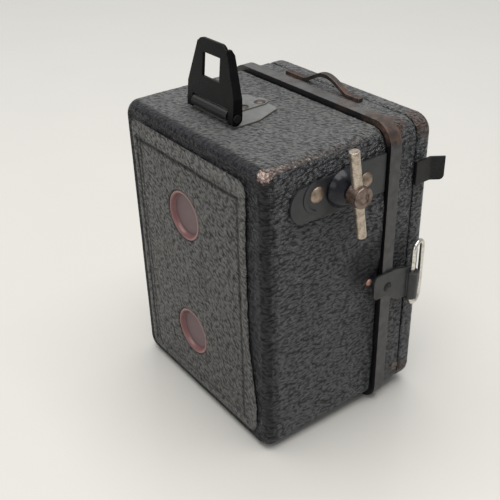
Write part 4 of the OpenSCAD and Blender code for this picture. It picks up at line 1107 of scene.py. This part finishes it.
M["guide_nickel"] = metal("guide_nickel", (0.72, 0.70, 0.66), (0.58, 0.55, 0.50), 0.16, 0.35, (0.25, 0.18, 0.11), 0.97)
M["disc_grey"] = metal("disc_grey", (0.10, 0.10, 0.105), (0.06, 0.06, 0.062), 0.36, 0.5, (0.03, 0.02, 0.018), 0.7)
M["board_grey"] = metal("board_grey", (0.17, 0.17, 0.172), (0.11, 0.11, 0.112), 0.42, 0.6, (0.08, 0.05, 0.035), 0.6)
M["red_celluloid"] = window("red_celluloid")
M["lens_glass"] = glass("lens_glass")

PAINT = {
    "rim": "rim_paint", "key_plate": "plate_paint", "key_rivets": "rivet_bronze", "key_bush": "gloss_black",
    "key_shaft": "hub_brown", "key_bar": "bar_nickel", "key_collar": "brass", "key_spring": "spring_steel",
    "finder_base": "finder_base_paint", "finder_rivets": "rivet_dark", "finder_spring": "leaf_grey",
    "finder_pin": "lever_paint", "finder_frame": "finder_paint", "latch_stud": "stud_red",
    "carrier_cheek_left": "inside_black", "carrier_cheek_right": "inside_black", "film_gate": "inside_black",
    "guide_bars": "guide_nickel", "light_cone": "inside_black", "carrier_front": "inside_black", "spool_pins": "brass",
    "supply_spring": "spring_steel", "pressure_plate": "inside_black", "pressure_spring": "spring_steel",
    "hinge_rear_leaf": "hinge_paint", "hinge_front_leaf": "hinge_paint", "hinge_rivets": "rivet_bronze",
    "hinge_pin": "spring_steel", "takeup_spool": "spool_black", "front_section": "section_paint",
    "lens_mount": "lens_black", "lens": "lens_glass", "lens_ring": "lens_black", "aperture_plate": "inside_black",
    "shutter_board": "board_grey", "board_screws": "spring_steel", "shutter_pivot": "brass", "shutter_disc": "disc_grey",
    "shutter_spring": "spring_steel", "lever_pivot": "brass", "release_lever": "lever_paint", "strap_loop": "rusty_steel",
    "lug_plate": "lug_paint", "lug_rivet": "lever_paint", "strap_ring": "ring_nickel", "seam_screws": "screw_brown",
    "red_window_upper": "red_celluloid", "red_window_lower": "red_celluloid",
}


def give(ob, mat):
    ob.data.materials.clear()
    ob.data.materials.append(mat)


for n, m in PAINT.items():
    o = N[n]
    for s in o.material_slots:
        s.material = M[m]
    if not o.material_slots:
        o.data.materials.append(M[m])
for n, o in N.items():
    if n not in PAINT:
        for s in o.material_slots:
            s.material = M["inside_black"]
give(wrap, M["leatherette"])
give(front_leather, M["leatherette"])
give(cap_leather, M["leatherette"])
give(panel, M["panel_leatherette"])
for w in windows:
    give(w, M["red_celluloid"])
give(spring, M["spring_steel"])
give(rear_shell, M["shell_paint"])
give(front_cap, M["shell_paint"])

# ------------------------------------------------------------------ floor, light, camera
# the camera rests on its rim band and on the lower rear edge, so the floor is turned by that small angle
tilt = math.atan2(Z0, (REAR - R_BACK) - 2.5)
fm = bpy.data.meshes.new("floor")
S = 4.0
fm.from_pydata([(-S, -S, 0), (S, -S, 0), (S, S, 0), (-S, S, 0)], [], [(0, 1, 2, 3)])
floor = bpy.data.objects.new("floor", fm)
bpy.context.scene.collection.objects.link(floor)
floor.matrix_world = Matrix.Translation((0, 0.0025, -0.00002)) @ Matrix.Rotation(tilt, 4, "X")
kf = Mat("floor_pale")
n = kf.noise(0.02, 3, 0.5)
kf.set(Base_Color=kf.mix(n, (0.575, 0.564, 0.532), (0.600, 0.589, 0.556)), Roughness=0.20, Specular_IOR_Level=0.42)
fm.materials.append(kf.m)

world = bpy.data.worlds.new("studio")
bpy.context.scene.world = world
world.use_nodes = True
bg = world.node_tree.nodes["Background"]
bg.inputs[0].default_value = (0.95, 0.975, 1.0, 1)
bg.inputs[1].default_value = 0.44


def area(name, at, to, size, power, colour=(1, 1, 1)):
    d = bpy.data.lights.new(name, "AREA")
    d.shape = "RECTANGLE"
    d.size, d.size_y = size
    d.energy = power
    d.color = colour
    o = bpy.data.objects.new(name, d)
    bpy.context.scene.collection.objects.link(o)
    o.location = at
    o.rotation_mode = "QUATERNION"
    o.rotation_quaternion = (Vector(to) - Vector(at)).to_track_quat("-Z", "Y")
    return o


area("top_light", (0.0, 0.02, 1.5), (0, 0.01, 0.04), (1.6, 1.6), 31.0, (1.0, 0.98, 0.95))
area("back_light", (-0.25, 1.10, 0.60), (0, 0.01, 0.04), (0.8, 0.6), 2.4, (1.0, 0.97, 0.93))

cam_d = bpy.data.cameras.new("camera")
cam_d.sensor_width = 36
cam_d.lens = 57.6
cam_d.clip_start, cam_d.clip_end = 0.01, 20
cam = bpy.data.objects.new("camera", cam_d)
bpy.context.scene.collection.objects.link(cam)
fwd = Vector((0.69306, -0.49929, -0.51997)).normalized()
up = Vector((0.40367, -0.32882, 0.85378))
right = fwd.cross(up).normalized()
up = right.cross(fwd).normalized()
rot = Matrix((right, up, -fwd)).transposed()
cam.matrix_world = Matrix.Translation((-0.148787, 0.128129, 0.154027)) @ rot.to_4x4()
bpy.context.scene.camera = cam
bpy.context.scene.view_settings.view_transform = "Standard"
